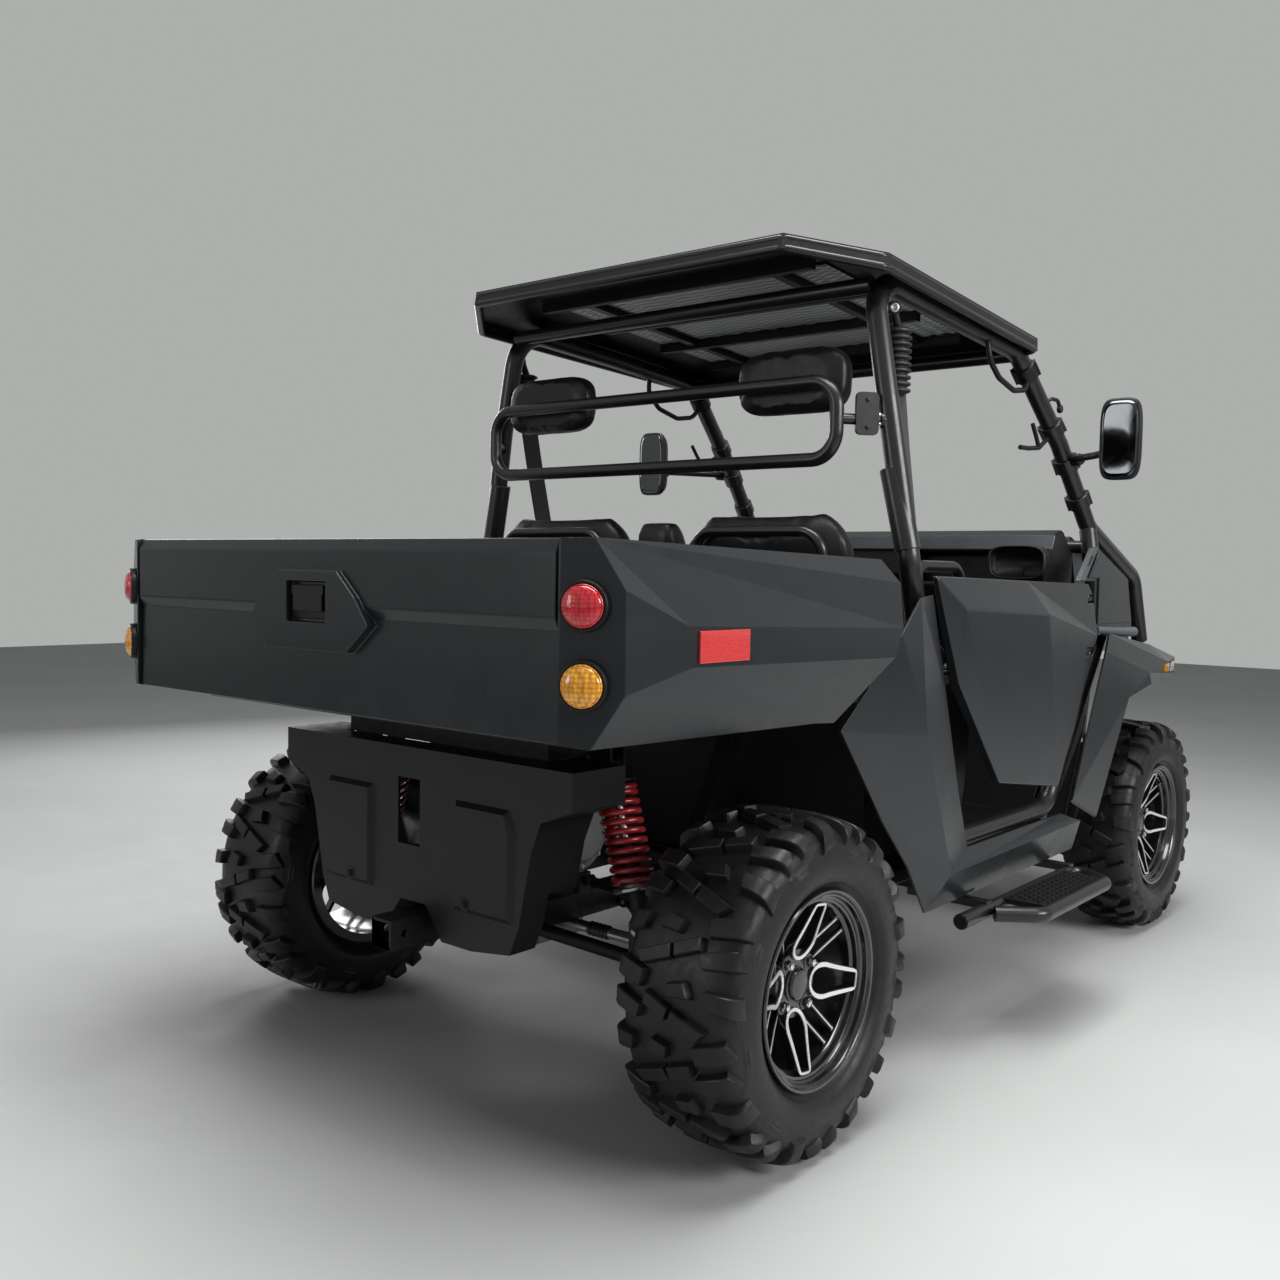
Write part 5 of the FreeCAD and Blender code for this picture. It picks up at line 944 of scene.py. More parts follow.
def build_front_bumper():
    """The front guard: one bent tube with a cross tube."""
    bumper = Shape()
    half = [(2.300, 0.140, 0.370), (BUMPER_REACH, 0.250, 0.400), (BUMPER_REACH, 0.300, 0.740)]
    tube(bumper, places(half) + places(half[::-1], -1), BUMPER_TUBE, 0.060, 20)
    tube(bumper, [at(BUMPER_REACH, -0.262, 0.480), at(BUMPER_REACH, 0.262, 0.480)], BUMPER_TUBE, around=20)
    piece("front_bumper_form", bumper, "chassis", ["cage_black", "steel"], "front_bumper")


STEP_END = 1.330
STEP_INNER_Y = 0.762
STEP_OUTER_Y = 0.878
STEP_Z = 0.318


def build_steps():
    """The side steps: a bent tube, a plate with raised treads in staggered rows and two brackets a side."""
    steps = Shape()
    for sign in SIDES:
        tube(steps, places([(0.640, STEP_INNER_Y, STEP_Z), (STEP_END, STEP_INNER_Y, STEP_Z),
                            (STEP_END - 0.090, STEP_OUTER_Y, STEP_Z), (0.830, STEP_OUTER_Y, STEP_Z),
                            (0.760, 0.790, STEP_Z)], sign), 0.0368, 0.038, 24)
        pin(steps, at(0.6392, sign * STEP_INNER_Y, STEP_Z), (-1, 0, 0), 0.0165, 0.001, 24, 1)
        plate = [(0.850, 0.770), (STEP_END - 0.090, 0.770), (STEP_END - 0.115, 0.870), (0.850, 0.870)]
        plate_foot = at(0, 0, STEP_Z + 0.004)
        slab(steps, [(a, y * sign) for a, y in plate], 0.0135, plate_foot, (1, 0, 0), (0, 1, 0))
        for row, y in enumerate(np.arange(0.780, 0.866, 0.017)):
            for ahead in np.arange(0.866 + 0.014 * (row % 2), STEP_END - 0.125, 0.028):
                pad = [(ahead, y), (ahead + 0.017, y + 0.002), (ahead + 0.017, y + 0.009), (ahead, y + 0.007)]
                slab(steps, [(a, b * sign) for a, b in pad], 0.0165, plate_foot, (1, 0, 0), (0, 1, 0), 2, 0.013)
        for ahead in STEP_BRACKETS:
            block(steps, at(ahead - 0.016, sign * 0.560, 0.322), at(ahead + 0.016, sign * 0.768, 0.3398))
            bolt(steps, at(ahead, sign * 0.590, 0.3225), (0, 0, -1), 0.008, 0.006, 3)
    piece("side_steps_form", steps, "chassis", ["cage_black", "cage_black", "moulded_black", "steel"], "side_steps",
          bevel=0.0015, bevel_angle=50)


build_cage()
build_guard()
build_seat_tubes()
build_front_bumper()
build_steps()


# Suspension

HUB_INNER_Y = 0.486
CARRIER_BOTTOM, CARRIER_TOP = AXLE_Z - 0.065, AXLE_Z + 0.081
SHOCK_FOOT_Y, SHOCK_TOP_Y, SHOCK_TOP_Z = 0.430, 0.336, 0.715


COIL_TURNS = 11.0
COIL_RADIUS = 0.0385
COIL_WIRE = 0.0128
FLAT_END = 0.75


def coil_points(foot, along, start, length):
    """The centre line of a spring: a helix whose first and last parts of a turn lie flat."""
    turn = np.linspace(0, COIL_TURNS, int(COIL_TURNS * 40))
    rise = np.clip((turn - FLAT_END) / (COIL_TURNS - 2 * FLAT_END), 0, 1)
    first = unit(np.cross(along, (0, 0, 1)))
    second = np.cross(along, first)
    angle = 2 * math.pi * turn
    ring = first * np.cos(angle)[:, None] + second * np.sin(angle)[:, None]
    return foot + along * (start + length * rise)[:, None] + ring * COIL_RADIUS


SHOCKS = [(-0.095, 0.392), (WHEELBASE, 0.372)]


def build_shocks():
    """Dampers, each turned about its own line with its spring seats and eyes, and the coil springs round them."""
    dampers, springs = Shape(), Shape()
    for ahead, foot_z in SHOCKS:
        foot, top = at(ahead, SHOCK_FOOT_Y, foot_z), at(ahead, SHOCK_TOP_Y, SHOCK_TOP_Z)
        length = np.linalg.norm(top - foot)
        along = (top - foot) / length
        damper, coil = Shape(), Shape()
        lathe(damper, [(0, 0.016), (0.012, 0.016), (0.0165, 0.030), (0.0185, 0.034), (0.0185, 0.52 * length),
                       (0.017, 0.545 * length), (0.0105, 0.55 * length), (0, 0.55 * length)], foot, along, 28)
        pin(damper, foot, along, 0.0095, length - 0.030, 24, 1, 0.54 * length)
        lathe(damper, [(0.019, 0.080), (0.042, 0.078), (0.0450, 0.080), (0.0450, 0.086), (0.034, 0.0865),
                       (0.031, 0.094), (0.019, 0.094)], foot, along, 36, 1, closed=True)
        top_seat = [(0, 0.048), (0.038, 0.044), (0.0445, 0.040), (0.0445, 0.036), (0.020, 0.030), (0.012, 0.012),
                    (0, 0.012)]
        lathe(damper, [(radius, length - below) for radius, below in top_seat], foot, along, 36)
        for end in (foot, top):
            sleeve(damper, end - (0.016, 0, 0), end + (0.016, 0, 0), 0.0165, 0, 0.0015)
            pin(damper, end, (1, 0, 0), 0.0075, -0.0248, 6, 1, -0.0268)
        tube(coil, coil_points(foot, along, 0.099, length - 0.1525), COIL_WIRE, around=12)
        dampers.join(damper, damper.mirrored())
        springs.join(coil, coil.mirrored())
    piece("damper_bodies", dampers, "chassis", ["frame_black", "steel"], "shocks", bevel=0.001, bevel_angle=50)
    piece("coil_springs", springs, "chassis", "spring_red", "springs")


def arm_tubes(shape, ahead, tip_y, tip_z, diameter, root_y, root_z, sleeve_radius):
    """Two tubes that spread from the wheel's end to the frame, with a turned bush and its pin at each root."""
    for way in (-0.150, 0.150):
        root = at(ahead + way, root_y, root_z)
        tube(shape, [root, at(ahead, tip_y, tip_z)], diameter, around=18)
        sleeve(shape, root - (0.022, 0, 0), root + (0.022, 0, 0), sleeve_radius, around=24)
        pin(shape, root, (1, 0, 0), 0.007, 0.0225, 6, 1, -0.0225)


def build_arms():
    """Lower and upper arms at each corner with their end blocks, damper lugs and bolts."""
    arms = Shape()
    tip_z = CARRIER_BOTTOM + 0.020
    arm_tubes(arms, 0.0, HUB_INNER_Y - 0.001, tip_z, 0.030, 0.180, 0.356, 0.015)
    tube(arms, [at(0.020, 0.176, 0.425), at(0.020, HUB_INNER_Y - 0.0005, 0.394)], 0.021, around=18)
    lathe(arms, [(0, -0.014), (0.0095, -0.014), (0.0108, -0.0125), (0.0108, 0.0125), (0.0095, 0.014), (0, 0.014)],
          at(0.020, 0.176, 0.425), (1, 0, 0), 24)
    block(arms, at(-0.121, 0.405, tip_z - 0.006), at(0.026, 0.450, tip_z + 0.014))
    low_top, high_low = CARRIER_BOTTOM - 0.004, CARRIER_TOP + 0.004
    arm_tubes(arms, WHEELBASE, 0.500, low_top - 0.0155, 0.029, 0.180, 0.356, 0.015)
    arm_tubes(arms, WHEELBASE, 0.520, high_low + 0.009, 0.018, 0.176, 0.452, 0.011)
    for low, high in ((low_top - 0.024, low_top), (high_low, high_low + 0.018)):
        block(arms, at(2.052, 0.480, low), at(2.108, 0.560, high))
    block(arms, at(2.054, 0.405, low_top - 0.006), at(2.106, 0.470, low_top + 0.014))
    for (ahead, foot_z), plate in zip(SHOCKS, (tip_z - 0.006, low_top - 0.006)):
        for start in (-0.0243, 0.0163):
            block(arms, at(ahead + start, 0.412, plate), at(ahead + start + 0.008, 0.448, foot_z + 0.017))
        for way in (-1, 1):
            bolt(arms, at(ahead + way * 0.0243, 0.430, foot_z), (way, 0, 0), 0.0085, 0.007, 1)
    arms.join(arms.mirrored())
    piece("suspension_arms_form", arms, "chassis", ["frame_black", "steel"], "suspension_arms", bevel=0.0022,
          bevel_angle=50)


def hub_shape(ahead, lip_y):
    """A cast hub carrier with its flange and spindle."""
    face = lip_y - 0.070
    hub = Shape()
    outline = [(-0.032, CARRIER_BOTTOM), (0.032, CARRIER_BOTTOM), (0.032, CARRIER_BOTTOM + 0.030),
               (0.022, AXLE_Z - 0.020), (0.022, AXLE_Z + 0.036), (0.032, CARRIER_TOP - 0.020), (0.032, CARRIER_TOP),
               (-0.032, CARRIER_TOP), (-0.032, CARRIER_TOP - 0.020), (-0.022, AXLE_Z + 0.036),
               (-0.022, AXLE_Z - 0.020), (-0.032, CARRIER_BOTTOM + 0.030)]
    slab(hub, outline, -HUB_INNER_Y, at(ahead, 0, 0), (1, 0, 0), (0, 0, 1), 0, -0.560)
    lathe(hub, [(0, 0), (0.058, 0), (0.060, 0.002), (0.060, 0.012), (0.058, 0.014), (0.035, 0.014), (0, 0.014)],
          at(ahead, 0.560, AXLE_Z), (0, 1, 0), 40)
    lathe(hub, [(0, 0.013), (0.0168, 0.013), (0.0168, face - 0.566), (0, face - 0.566)], at(ahead, 0.560, AXLE_Z),
          (0, 1, 0), 28, 1)
    return hub


def build_hubs():
    """Rear carriers with half shafts and ringed boots, and the steered front knuckles with their pins."""
    rear = hub_shape(0.0, 0.791)
    tube(rear, [at(0, 0.125, AXLE_Z), at(0, 0.490, AXLE_Z)], 0.025, around=18)
    for inner, outer in ((0.200, 0.262), (0.415, 0.480)):
        profile = [(0.013, inner)]
        for i in range(5):
            place = inner + (outer - inner) * (i + 0.5) / 5
            profile += [(0.0165, place - 0.0035), (0.0125, place + 0.004)]
        profile += [(0.013, outer)]
        lathe(rear, [(0, inner)] + profile + [(0, outer)], at(0, 0, AXLE_Z), (0, 1, 0), 24, 2)
    rear.join(rear.mirrored())
    piece("rear_hubs_form", rear, "chassis", ["steel", "steel", "bellows"], "rear_hubs", bevel=0.002, bevel_angle=50)
    for sign in SIDES:
        knuckle = hub_shape(WHEELBASE, 0.744)
        for height, way in ((CARRIER_TOP, 1), (CARRIER_BOTTOM, -1)):
            pin(knuckle, at(WHEELBASE, 0.545, height), (0, 0, way), 0.0088, 0.020, 20, 1)
        if sign < 0:
            knuckle = knuckle.mirrored()
        piece(f"knuckle_{SIDE_NAME[sign]}_form", knuckle, f"knuckle_{SIDE_NAME[sign]}", ["steel", "steel"],
              f"knuckle_{SIDE_NAME[sign]}", bevel=0.002, bevel_angle=50)


build_shocks()
build_arms()
build_hubs()


# Lamps

POD_SLOPE = 0.434
POD_OUT = unit([-1, POD_SLOPE, 0])


def pod_place(side, height):
    """A place on the slanted rear face of the bed's side."""
    return at(-0.583 + (side - 0.656) * POD_SLOPE, side, height)


def lamp_shapes(height):
    """A round lamp: a dark stepped bezel and a domed lens with a raised ring."""
    centre = pod_place(0.694, height)
    bezel, lens = Shape(), Shape()
    lathe(bezel, [(0, 0), (0.0405, 0), (0.0410, 0.002), (0.0410, 0.0095), (0.0395, 0.0115), (0.0362, 0.0120),
                  (0.0345, 0.0100), (0, 0.0100)], centre, POD_OUT, 48)
    dome = [(0.0345, 0.0095), (0.0342, 0.0135), (0.0325, 0.0150), (0.0318, 0.0140)]
    for turn in np.linspace(0.30, math.pi / 2, 10):
        dome.append((0.0315 * math.cos(turn) / math.cos(0.30), 0.0115 + 0.0130 * math.sin(turn)))
    lathe(lens, [(0, 0.0090)] + dome, centre, POD_OUT, 48)
    return bezel, lens


def build_tail_lamps():
    """Two round lamps and a flat reflector on each side of the bed."""
    reds, ambers, bezels = Shape(), Shape(), Shape()
    for height, lenses in ((1.053, reds), (0.929, ambers)):
        bezel, lens = lamp_shapes(height)
        bezels.join(bezel, bezel.mirrored())
        lenses.join(lens, lens.mirrored())
    plates = Shape()
    for sign in SIDES:
        block(plates, at(-0.3648, sign * 0.762, 0.9582), at(-0.2252, sign * 0.7668, 1.0118))
    piece("lamp_bezels", bezels, "bed", "moulded_black", bevel=0.0006, bevel_angle=40)
    piece("rear_lenses_red", reds, "bed", "lens_red", "tail_lamps_red")
    piece("rear_lenses_amber", ambers, "bed", "lens_amber", "tail_lamps_amber")
    piece("side_reflectors", plates, "bed", "reflector", bevel=0.0012)


def build_front_lamps():
    """The clear headlamps and amber marker lamps."""
    softened("headlamps", "lens_clear", 0.004)
    softened("marker_lamps", "lens_amber", 0.002)


# Seats

def superellipse(half_a, half_b, power, count):
    """Points round a rounded rectangle: |a|^p + |b|^p = 1."""
    turn = 2 * math.pi * np.arange(count) / count
    c, s = np.cos(turn), np.sin(turn)
    across = half_a * np.sign(c) * np.abs(c) ** (2 / power)
    return np.stack([across, half_b * np.sign(s) * np.abs(s) ** (2 / power)], 1)


def upright_ring(ahead, side, height, section):
    """A section of (across, up) pairs, set upright at a place ahead."""
    return np.stack([np.full(len(section), REAR_AXLE_X + ahead), side + section[:, 0], height + section[:, 1]], 1)


PAD_PRESSURE = 4.0
PAD_STIFFNESS = 18
PAD_BENDING = 2.0
LAST_FRAME = 20


def swollen(item, cap, voxel, pinned=None):
    """Padding: the closed pad is remeshed and blown up by a cloth run; no point moves further than the cap."""
    scene = bpy.context.scene
    bpy.context.view_layer.objects.active = item
    remesh = item.modifiers.new("cells", "REMESH")
    remesh.mode = "VOXEL"
    remesh.voxel_size = voxel
    depsgraph = bpy.context.evaluated_depsgraph_get()
    mesh = bpy.data.meshes.new_from_object(item.evaluated_get(depsgraph))
    item.modifiers.clear()
    old = item.data
    item.data = mesh
    for material in old.materials:
        if material.name not in [m.name for m in mesh.materials if m]:
            mesh.materials.append(material)
    before = np.zeros(len(mesh.vertices) * 3)
    mesh.vertices.foreach_get("co", before)
    before = before.reshape(-1, 3)
    cloth = item.modifiers.new("padding", "CLOTH")
    cloth.settings.use_pressure = True
    cloth.settings.uniform_pressure_force = PAD_PRESSURE
    cloth.settings.effector_weights.gravity = 0.0
    cloth.settings.tension_stiffness = PAD_STIFFNESS
    cloth.settings.compression_stiffness = PAD_STIFFNESS
    cloth.settings.bending_stiffness = PAD_BENDING
    cloth.settings.quality = 4
    cloth.collision_settings.use_collision = False
    cloth.point_cache.frame_start = 1
    cloth.point_cache.frame_end = LAST_FRAME
    if pinned is not None:
        group = item.vertex_groups.new(name="held")
        for number in np.nonzero(pinned(before))[0]:
            group.add([int(number)], 1.0, "REPLACE")
        cloth.settings.vertex_group_mass = "held"
    for number in range(1, LAST_FRAME + 1):
        scene.frame_set(number)
    depsgraph = bpy.context.evaluated_depsgraph_get()
    after = np.zeros(len(mesh.vertices) * 3)
    item.evaluated_get(depsgraph).data.vertices.foreach_get("co", after)
    after = after.reshape(-1, 3)
    item.modifiers.clear()
    step = after - before
    reach = np.linalg.norm(step, axis=1)
    step *= np.minimum(1, cap / np.maximum(reach, 1e-9))[:, None]
    mesh.vertices.foreach_set("co", (before + step).ravel())
    mesh.polygons.foreach_set("use_smooth", [True] * len(mesh.polygons))
    mesh.update()
    scene.frame_set(1)


def pad(name, rings, cap, voxel, pinned=None):
    """A padded piece lofted through rings of points, swollen and smoothed."""
    item = piece(name, Shape().grid(np.array(rings)), "chassis", "seat_black", weld=True)
    swollen(item, cap, voxel, pinned)
    smooth = item.modifiers.new("smooth", "SUBSURF")
    smooth.levels = 1
    smooth.render_levels = 1
    return item


CUSHION_REAR, CUSHION_FRONT = 0.597, 1.000
CUSHION_LOW, CUSHION_HIGH = 0.8515, 0.940


def build_cushion(number, side, width):
    """One seat cushion: t runs rear to front, the section's top falls to a roll at the front, and its flat foot
    stays on the base."""
    half = width / 2 - 0.008
    rings = []
    for t in np.linspace(0, 1, 28):
        ahead = CUSHION_REAR + (CUSHION_FRONT - CUSHION_REAR) * t
        front_roll = step_up(t, 0.80, 1.0)
        top = CUSHION_HIGH - 0.050 * front_roll ** 1.5 - 0.004 * (1 - step_up(t, 0.0, 0.12))
        bottom = CUSHION_LOW + 0.020 * front_roll
        wide = half * (1 - 0.05 * step_up(t, 0.88, 1.0) - 0.03 * (1 - step_up(t, 0, 0.06)))
        rings.append(upright_ring(ahead, side, (top + bottom) / 2, superellipse(wide, (top - bottom) / 2, 5.0, 40)))
    return pad(f"cushion_{number}", np.array(rings)[:, ::-1], 0.014, 0.0085,
               lambda points: points[:, 2] < CUSHION_LOW + 0.012)


BACK_BOTTOM, BACK_DEPTH = 0.865, 0.080


def build_backrest(number, side, width, top):
    """One backrest: a leaning pad whose width draws in over its rounded shoulders; t runs from foot to top."""
    half = width / 2 - 0.010
    rings = []
    for t in np.linspace(0, 1, 26):
        height = BACK_BOTTOM + (top - 0.012 - BACK_BOTTOM) * t
        shoulder = max(0.0, (t - 0.74) / 0.26)
        foot_draw = 1 - step_up(t, 0, 0.08)
        wide = half * (1 - 0.26 * shoulder ** 2.4 - 0.04 * foot_draw)
        deep = BACK_DEPTH / 2 * (1 - 0.45 * shoulder ** 5 - 0.15 * (1 - step_up(t, 0, 0.06)))
        section = superellipse(deep, wide, 3.6, 44)
        rings.append(np.stack([REAR_AXLE_X + 0.5275 - 0.070 * t + section[:, 0], side + section[:, 1],
                               np.full(44, height)], 1))
    return pad(f"backrest_{number}", rings, 0.012, 0.0085)


def build_headrest(number, side):
    """A headrest pad: a rounded block with its faces drawn in, t from -1 behind to 1 in front."""
    rings = []
    for t in np.linspace(-1, 1, 13):
        pull = (1 - abs(t) ** 4) ** 0.25 * 0.22 + 0.78
        rings.append(upright_ring(0.463 + 0.0270 * t, side, 1.549,
                                  superellipse(0.149 * pull, 0.079 * pull, 3.4, 48)))
    return pad(f"headrest_{number}", rings, 0.006, 0.007)


# Seats: side, width and top of the backrest
SEATS = [(SEAT_SIDES[0], 0.480, 1.262), (SEAT_SIDES[1], 0.480, 1.262), (0.0, 0.150, 1.240)]


def build_seats():
    """Three cushions with their backrests, and two headrests."""
    cushions, backs = [], []
    for number, (side, width, top) in enumerate(SEATS):
        cushions.append(build_cushion(number, side, width))
        backs.append(build_backrest(number, side, width, top))
    for number, side in enumerate((0.390, -0.390)):
        build_headrest(number, side)
    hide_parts("seat_cushions")
    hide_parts("seat_backs")


STRAP = [(0.588, 0.6135, 0.632), (0.600, 0.6060, 0.720), (0.640, 0.5985, 0.860), (0.680, 0.5980, 1.080),
         (0.655, 0.5975, 1.200), (0.607, 0.5975, 1.390), (0.578, 0.5980, 1.522)]
BELLOWS_RINGS = 10
BELLOWS_PITCH = 0.0148


def build_belts():
    """Seat belts: ringed bellows turned about an upright line, a bolted head, and a flat strap down to its anchor."""
    for sign in SIDES:
        belt = Shape()
        foot = at(0.566, sign * 0.598, 1.515)
        profile = [(0, 0), (0.012, 0)]
        for i in range(BELLOWS_RINGS):
            z = 0.003 + BELLOWS_PITCH * i
            profile += [(0.0240, z + 0.001), (0.0325, z + 0.0048), (0.0328, z + 0.0092), (0.0242, z + 0.0134)]
        profile += [(0.012, 0.152), (0, 0.152)]
        lathe(belt, profile, foot, (0, 0, 1), 32)
        neck = [foot + (0, 0, 0.150), at(0.552, sign * 0.598, 1.690), at(0.545, sign * 0.596, 1.712)]
        tube(belt, neck, 0.020, 0.0, 18, 2)
        head = at(0.540, sign * 0.600, 1.706)
        way = unit([-0.80, sign * 0.60, 0.0])
        washer = [(0, -0.014), (0.0150, -0.014), (0.0160, -0.012), (0.0160, 0.008), (0, 0.008)]
        socket_head = [(0, 0.007), (0.0115, 0.007), (0.0120, 0.009), (0.0120, 0.013), (0.0100, 0.0155),
                       (0.0055, 0.0160), (0.0050, 0.0130), (0, 0.0130)]
        for turned_form, number in ((washer, 2), (socket_head, 3)):
            lathe(belt, turned_form, head, way, 28, number)
        lathe(belt, [(0, -0.010), (0.0075, -0.008), (0.0100, 0), (0.0075, 0.008), (0, 0.010)],
              at(0.590, sign * 0.598, 1.524), (0, 0, 1), 18, 2)
        ribbon(belt, rounded_path(places(STRAP, sign), 0.15, 6), 0.060, 0.0060, (1, 0, 0), 1)
        block(belt, at(0.563, sign * 0.6003, 0.562), at(0.613, sign * 0.6355, 0.638), 2)
        piece(f"belt_{SIDE_NAME[sign]}", belt, "chassis", ["bellows", "webbing", "moulded_black", "steel"],
              "seat_belts" if sign > 0 else (), bevel=0.0012, bevel_angle=60)


MIRROR_Y, MIRROR_Z = 0.815, 1.482
# Sections of the mirror's shell and of its glass: place ahead, and growth of the outline
MIRROR_SHELL = [(1.3958, 0.90), (1.3952, 0.97), (1.3975, 1.0), (1.4120, 1.0), (1.4300, 0.90), (1.4400, 0.70),
                (1.4447, 0.35)]
MIRROR_GLASS = [(1.3965, 1.0), (1.3951, 0.995), (1.3950, 0.90), (1.3950, 0.3)]


def build_mirrors():
    """Outside mirrors: rounded sections that shrink towards the shell's front, a glass, an arm and two knuckles."""
    for sign in SIDES:
        head = Shape()
        for sections, half_wide, half_high, number in ((MIRROR_SHELL, 0.0540, 0.1090, 0),
                                                       (MIRROR_GLASS, 0.0470, 0.1015, 1)):
            outline = superellipse(half_wide, half_high, 4.5, 48) * (sign, 1)
            rings = [upright_ring(ahead, sign * MIRROR_Y, MIRROR_Z, outline * grow) for ahead, grow in sections]
            head.grid(np.array(rings), number=number)
        tube(head, [at(1.570, sign * 0.612, 1.448), at(1.520, sign * 0.700, 1.452), at(1.438, sign * 0.795, 1.456)],
             0.020, 0.04, 18)
        lathe(head, [(0, 0), (0.017, 0), (0.019, 0.004), (0.019, 0.020), (0.014, 0.026), (0, 0.026)],
              at(1.432, sign * 0.796, 1.456), unit([0.7, -sign, -0.05]), 24)
        lathe(head, [(0, -0.020), (0.014, -0.020), (0.0175, -0.012), (0.0175, 0.012), (0.014, 0.020), (0, 0.020)],
              at(1.5705, sign * 0.634, 1.4475), unit([-0.45, sign, 0.05]), 24)
        piece(f"mirror_{SIDE_NAME[sign]}", head, "chassis", ["moulded_black", "mirror_glass"],
              "mirrors" if sign > 0 else (), weld=True)


STEERING_CENTRE = (1.180, 0.330, 1.120)
STEERING_TILT = math.radians(26.0)
STEERING_RADIUS = 0.170


def build_steering():
    """The steering wheel, a ring with a slightly waved grip, three spokes and a hub, and its column."""
    wheel = Shape()
    centre = at(*STEERING_CENTRE)
    axis = np.array([-math.cos(STEERING_TILT), 0, math.sin(STEERING_TILT)])
    side = np.array([0, 1.0, 0])
    up = np.cross(side, axis)
    turns = 2 * math.pi * np.arange(72) / 72
    ring_out = side * np.cos(turns)[:, None] + up * np.sin(turns)[:, None]
    around = 2 * math.pi * np.arange(16) / 16
    grip = 0.0128 + 0.0006 * np.sin(turns * 24)
    points = (centre + ring_out[:, None] * (STEERING_RADIUS + grip[:, None, None] * np.cos(around)[None, :, None])
              + axis * (grip[:, None, None] * np.sin(around)[None, :, None]))
    wheel.grid(points, close_u=True, caps=False)
    lathe(wheel, [(0, -0.026), (0.022, -0.026), (0.036, -0.012), (0.038, -0.002), (0.034, 0.0035), (0, 0.004)],
          centre, axis, 36, 1)
    for turn in (90, 210, 330):
        out = side * math.cos(math.radians(turn)) + up * math.sin(math.radians(turn))
        across = np.cross(axis, out)
        plate = [(0.026, -0.015), (0.150, -0.0085), (0.161, -0.010), (0.161, 0.010), (0.150, 0.0085), (0.026, 0.015)]
        slab(wheel, plate, 0.004, centre - axis * 0.008, out, across, 1, -0.004)
    piece("steering_wheel_form", wheel, "steering_wheel", ["wheel_grip", "moulded_black"], "steering_wheel",
          bevel=0.002, bevel_angle=50)
    column = Shape()
    start = centre - axis * 0.0275
    lathe(column, [(0, 0), (0.012, 0), (0.0185, 0.010), (0.0185, 0.340), (0, 0.340)], start, -axis, 32)
    piece("steering_column_form", column, "chassis", "moulded_black", "steering_column")


# The roof panel's ridge and front fall: place ahead and height of the top
ROOF_RIDGE, ROOF_FALL = (0.520, 1.840), (1.270, 1.784)
SHEET_SPANS = [(0.530, 0.715), (0.745, 0.965), (0.995, 1.215)]
SHEET_SIDES = [(-0.285, 0.285), (0.316, 0.425), (-0.425, -0.316)]


def underside(ahead):
    """Height of the roof's underside: a straight fall from the ridge, 9.2 mm below the top."""
    return (ROOF_RIDGE[1] - 0.0092
            - (ahead - ROOF_RIDGE[0]) * (ROOF_RIDGE[1] - ROOF_FALL[1]) / (ROOF_FALL[0] - ROOF_RIDGE[0]))


def build_roof():
    """The roof panel with ribbed light sheets under it, sine waves across their width, and its side bolts."""
    softened("roof_panel", "moulded_black", 0.007)
    sheets = Shape()
    for first, last in SHEET_SPANS:
        for low, high in SHEET_SIDES:
            points = np.array([[at(a, y, underside(a)) for y in np.linspace(low, high, 24)]
                               for a in np.linspace(first, last, 12)])
            ribs = 0.0016 * np.sin(np.linspace(0, 14 * math.pi * (high - low) / 0.285, 24))
            points[..., 2] -= 0.0018 + ribs[None]
            sheets.grid(points, close_v=False, caps=False, solid=False)
    item = piece("roof_sheets", sheets, "chassis", "roof_sheet")
    thick = item.modifiers.new("thickness", "SOLIDIFY")
    thick.thickness = 0.0012
    thick.offset = 1.0
    bolts = Shape()
    for sign in SIDES:
        for ahead, z in ((0.640, 1.756), (1.200, 1.708)):
            lathe(bolts, [(0, 0), (0.010, 0), (0.010, 0.004), (0, 0.0045)], at(ahead, sign * 0.5465, z + 0.020),
                  (0, -sign, 0), 6)
    piece("roof_bolts", bolts, "chassis", "steel")


MOTOR_FINS = 16


def build_motor():
    """The drive motor with cooling fins turned about its axis, its end cap and bolts, and the reduction gear."""
    motor = Shape()
    centre = at(-0.030, 0, 0.540)
    fins = [(0, -0.198), (0.078, -0.198), (0.086, -0.190)]
    for i in range(MOTOR_FINS):
        y = -0.180 + 0.0155 * i
        fins += [(0.0895, y), (0.0895, y + 0.004), (0.0805, y + 0.0055), (0.0805, y + 0.0135)]
    fins += [(0.0880, 0.072), (0.0880, 0.112), (0.080, 0.1195), (0, 0.1195)]
    lathe(motor, fins, centre, (0, 1, 0), 40)
    lathe(motor, [(0, -0.2118), (0.052, -0.2118), (0.062, -0.209), (0.0665, -0.202), (0.0665, -0.197), (0, -0.197)],
          centre, (0, 1, 0), 40)
    for i in range(8):
        turn = 2 * math.pi * i / 8
        place = centre + np.array([0.0725 * math.cos(turn), -0.1995, 0.0725 * math.sin(turn)])
        bolt(motor, place, (0, -1, 0), 0.0052, 0.005, 1)
    block(motor, at(-0.120, -0.0948, 0.280), at(0.090, 0.0948, 0.500))
    for ahead in (-0.080, 0.050):
        block(motor, at(ahead - 0.015, -0.1148, 0.350), at(ahead + 0.015, 0.1148, 0.380))
    pin(motor, at(0, 0, AXLE_Z), (0, 1, 0), 0.0275, 0.1248, 32, 0, -0.1248)
    piece("drive_motor_form", motor, "chassis", ["motor_grey", "steel"], "drive_motor", bevel=0.003, bevel_angle=50)


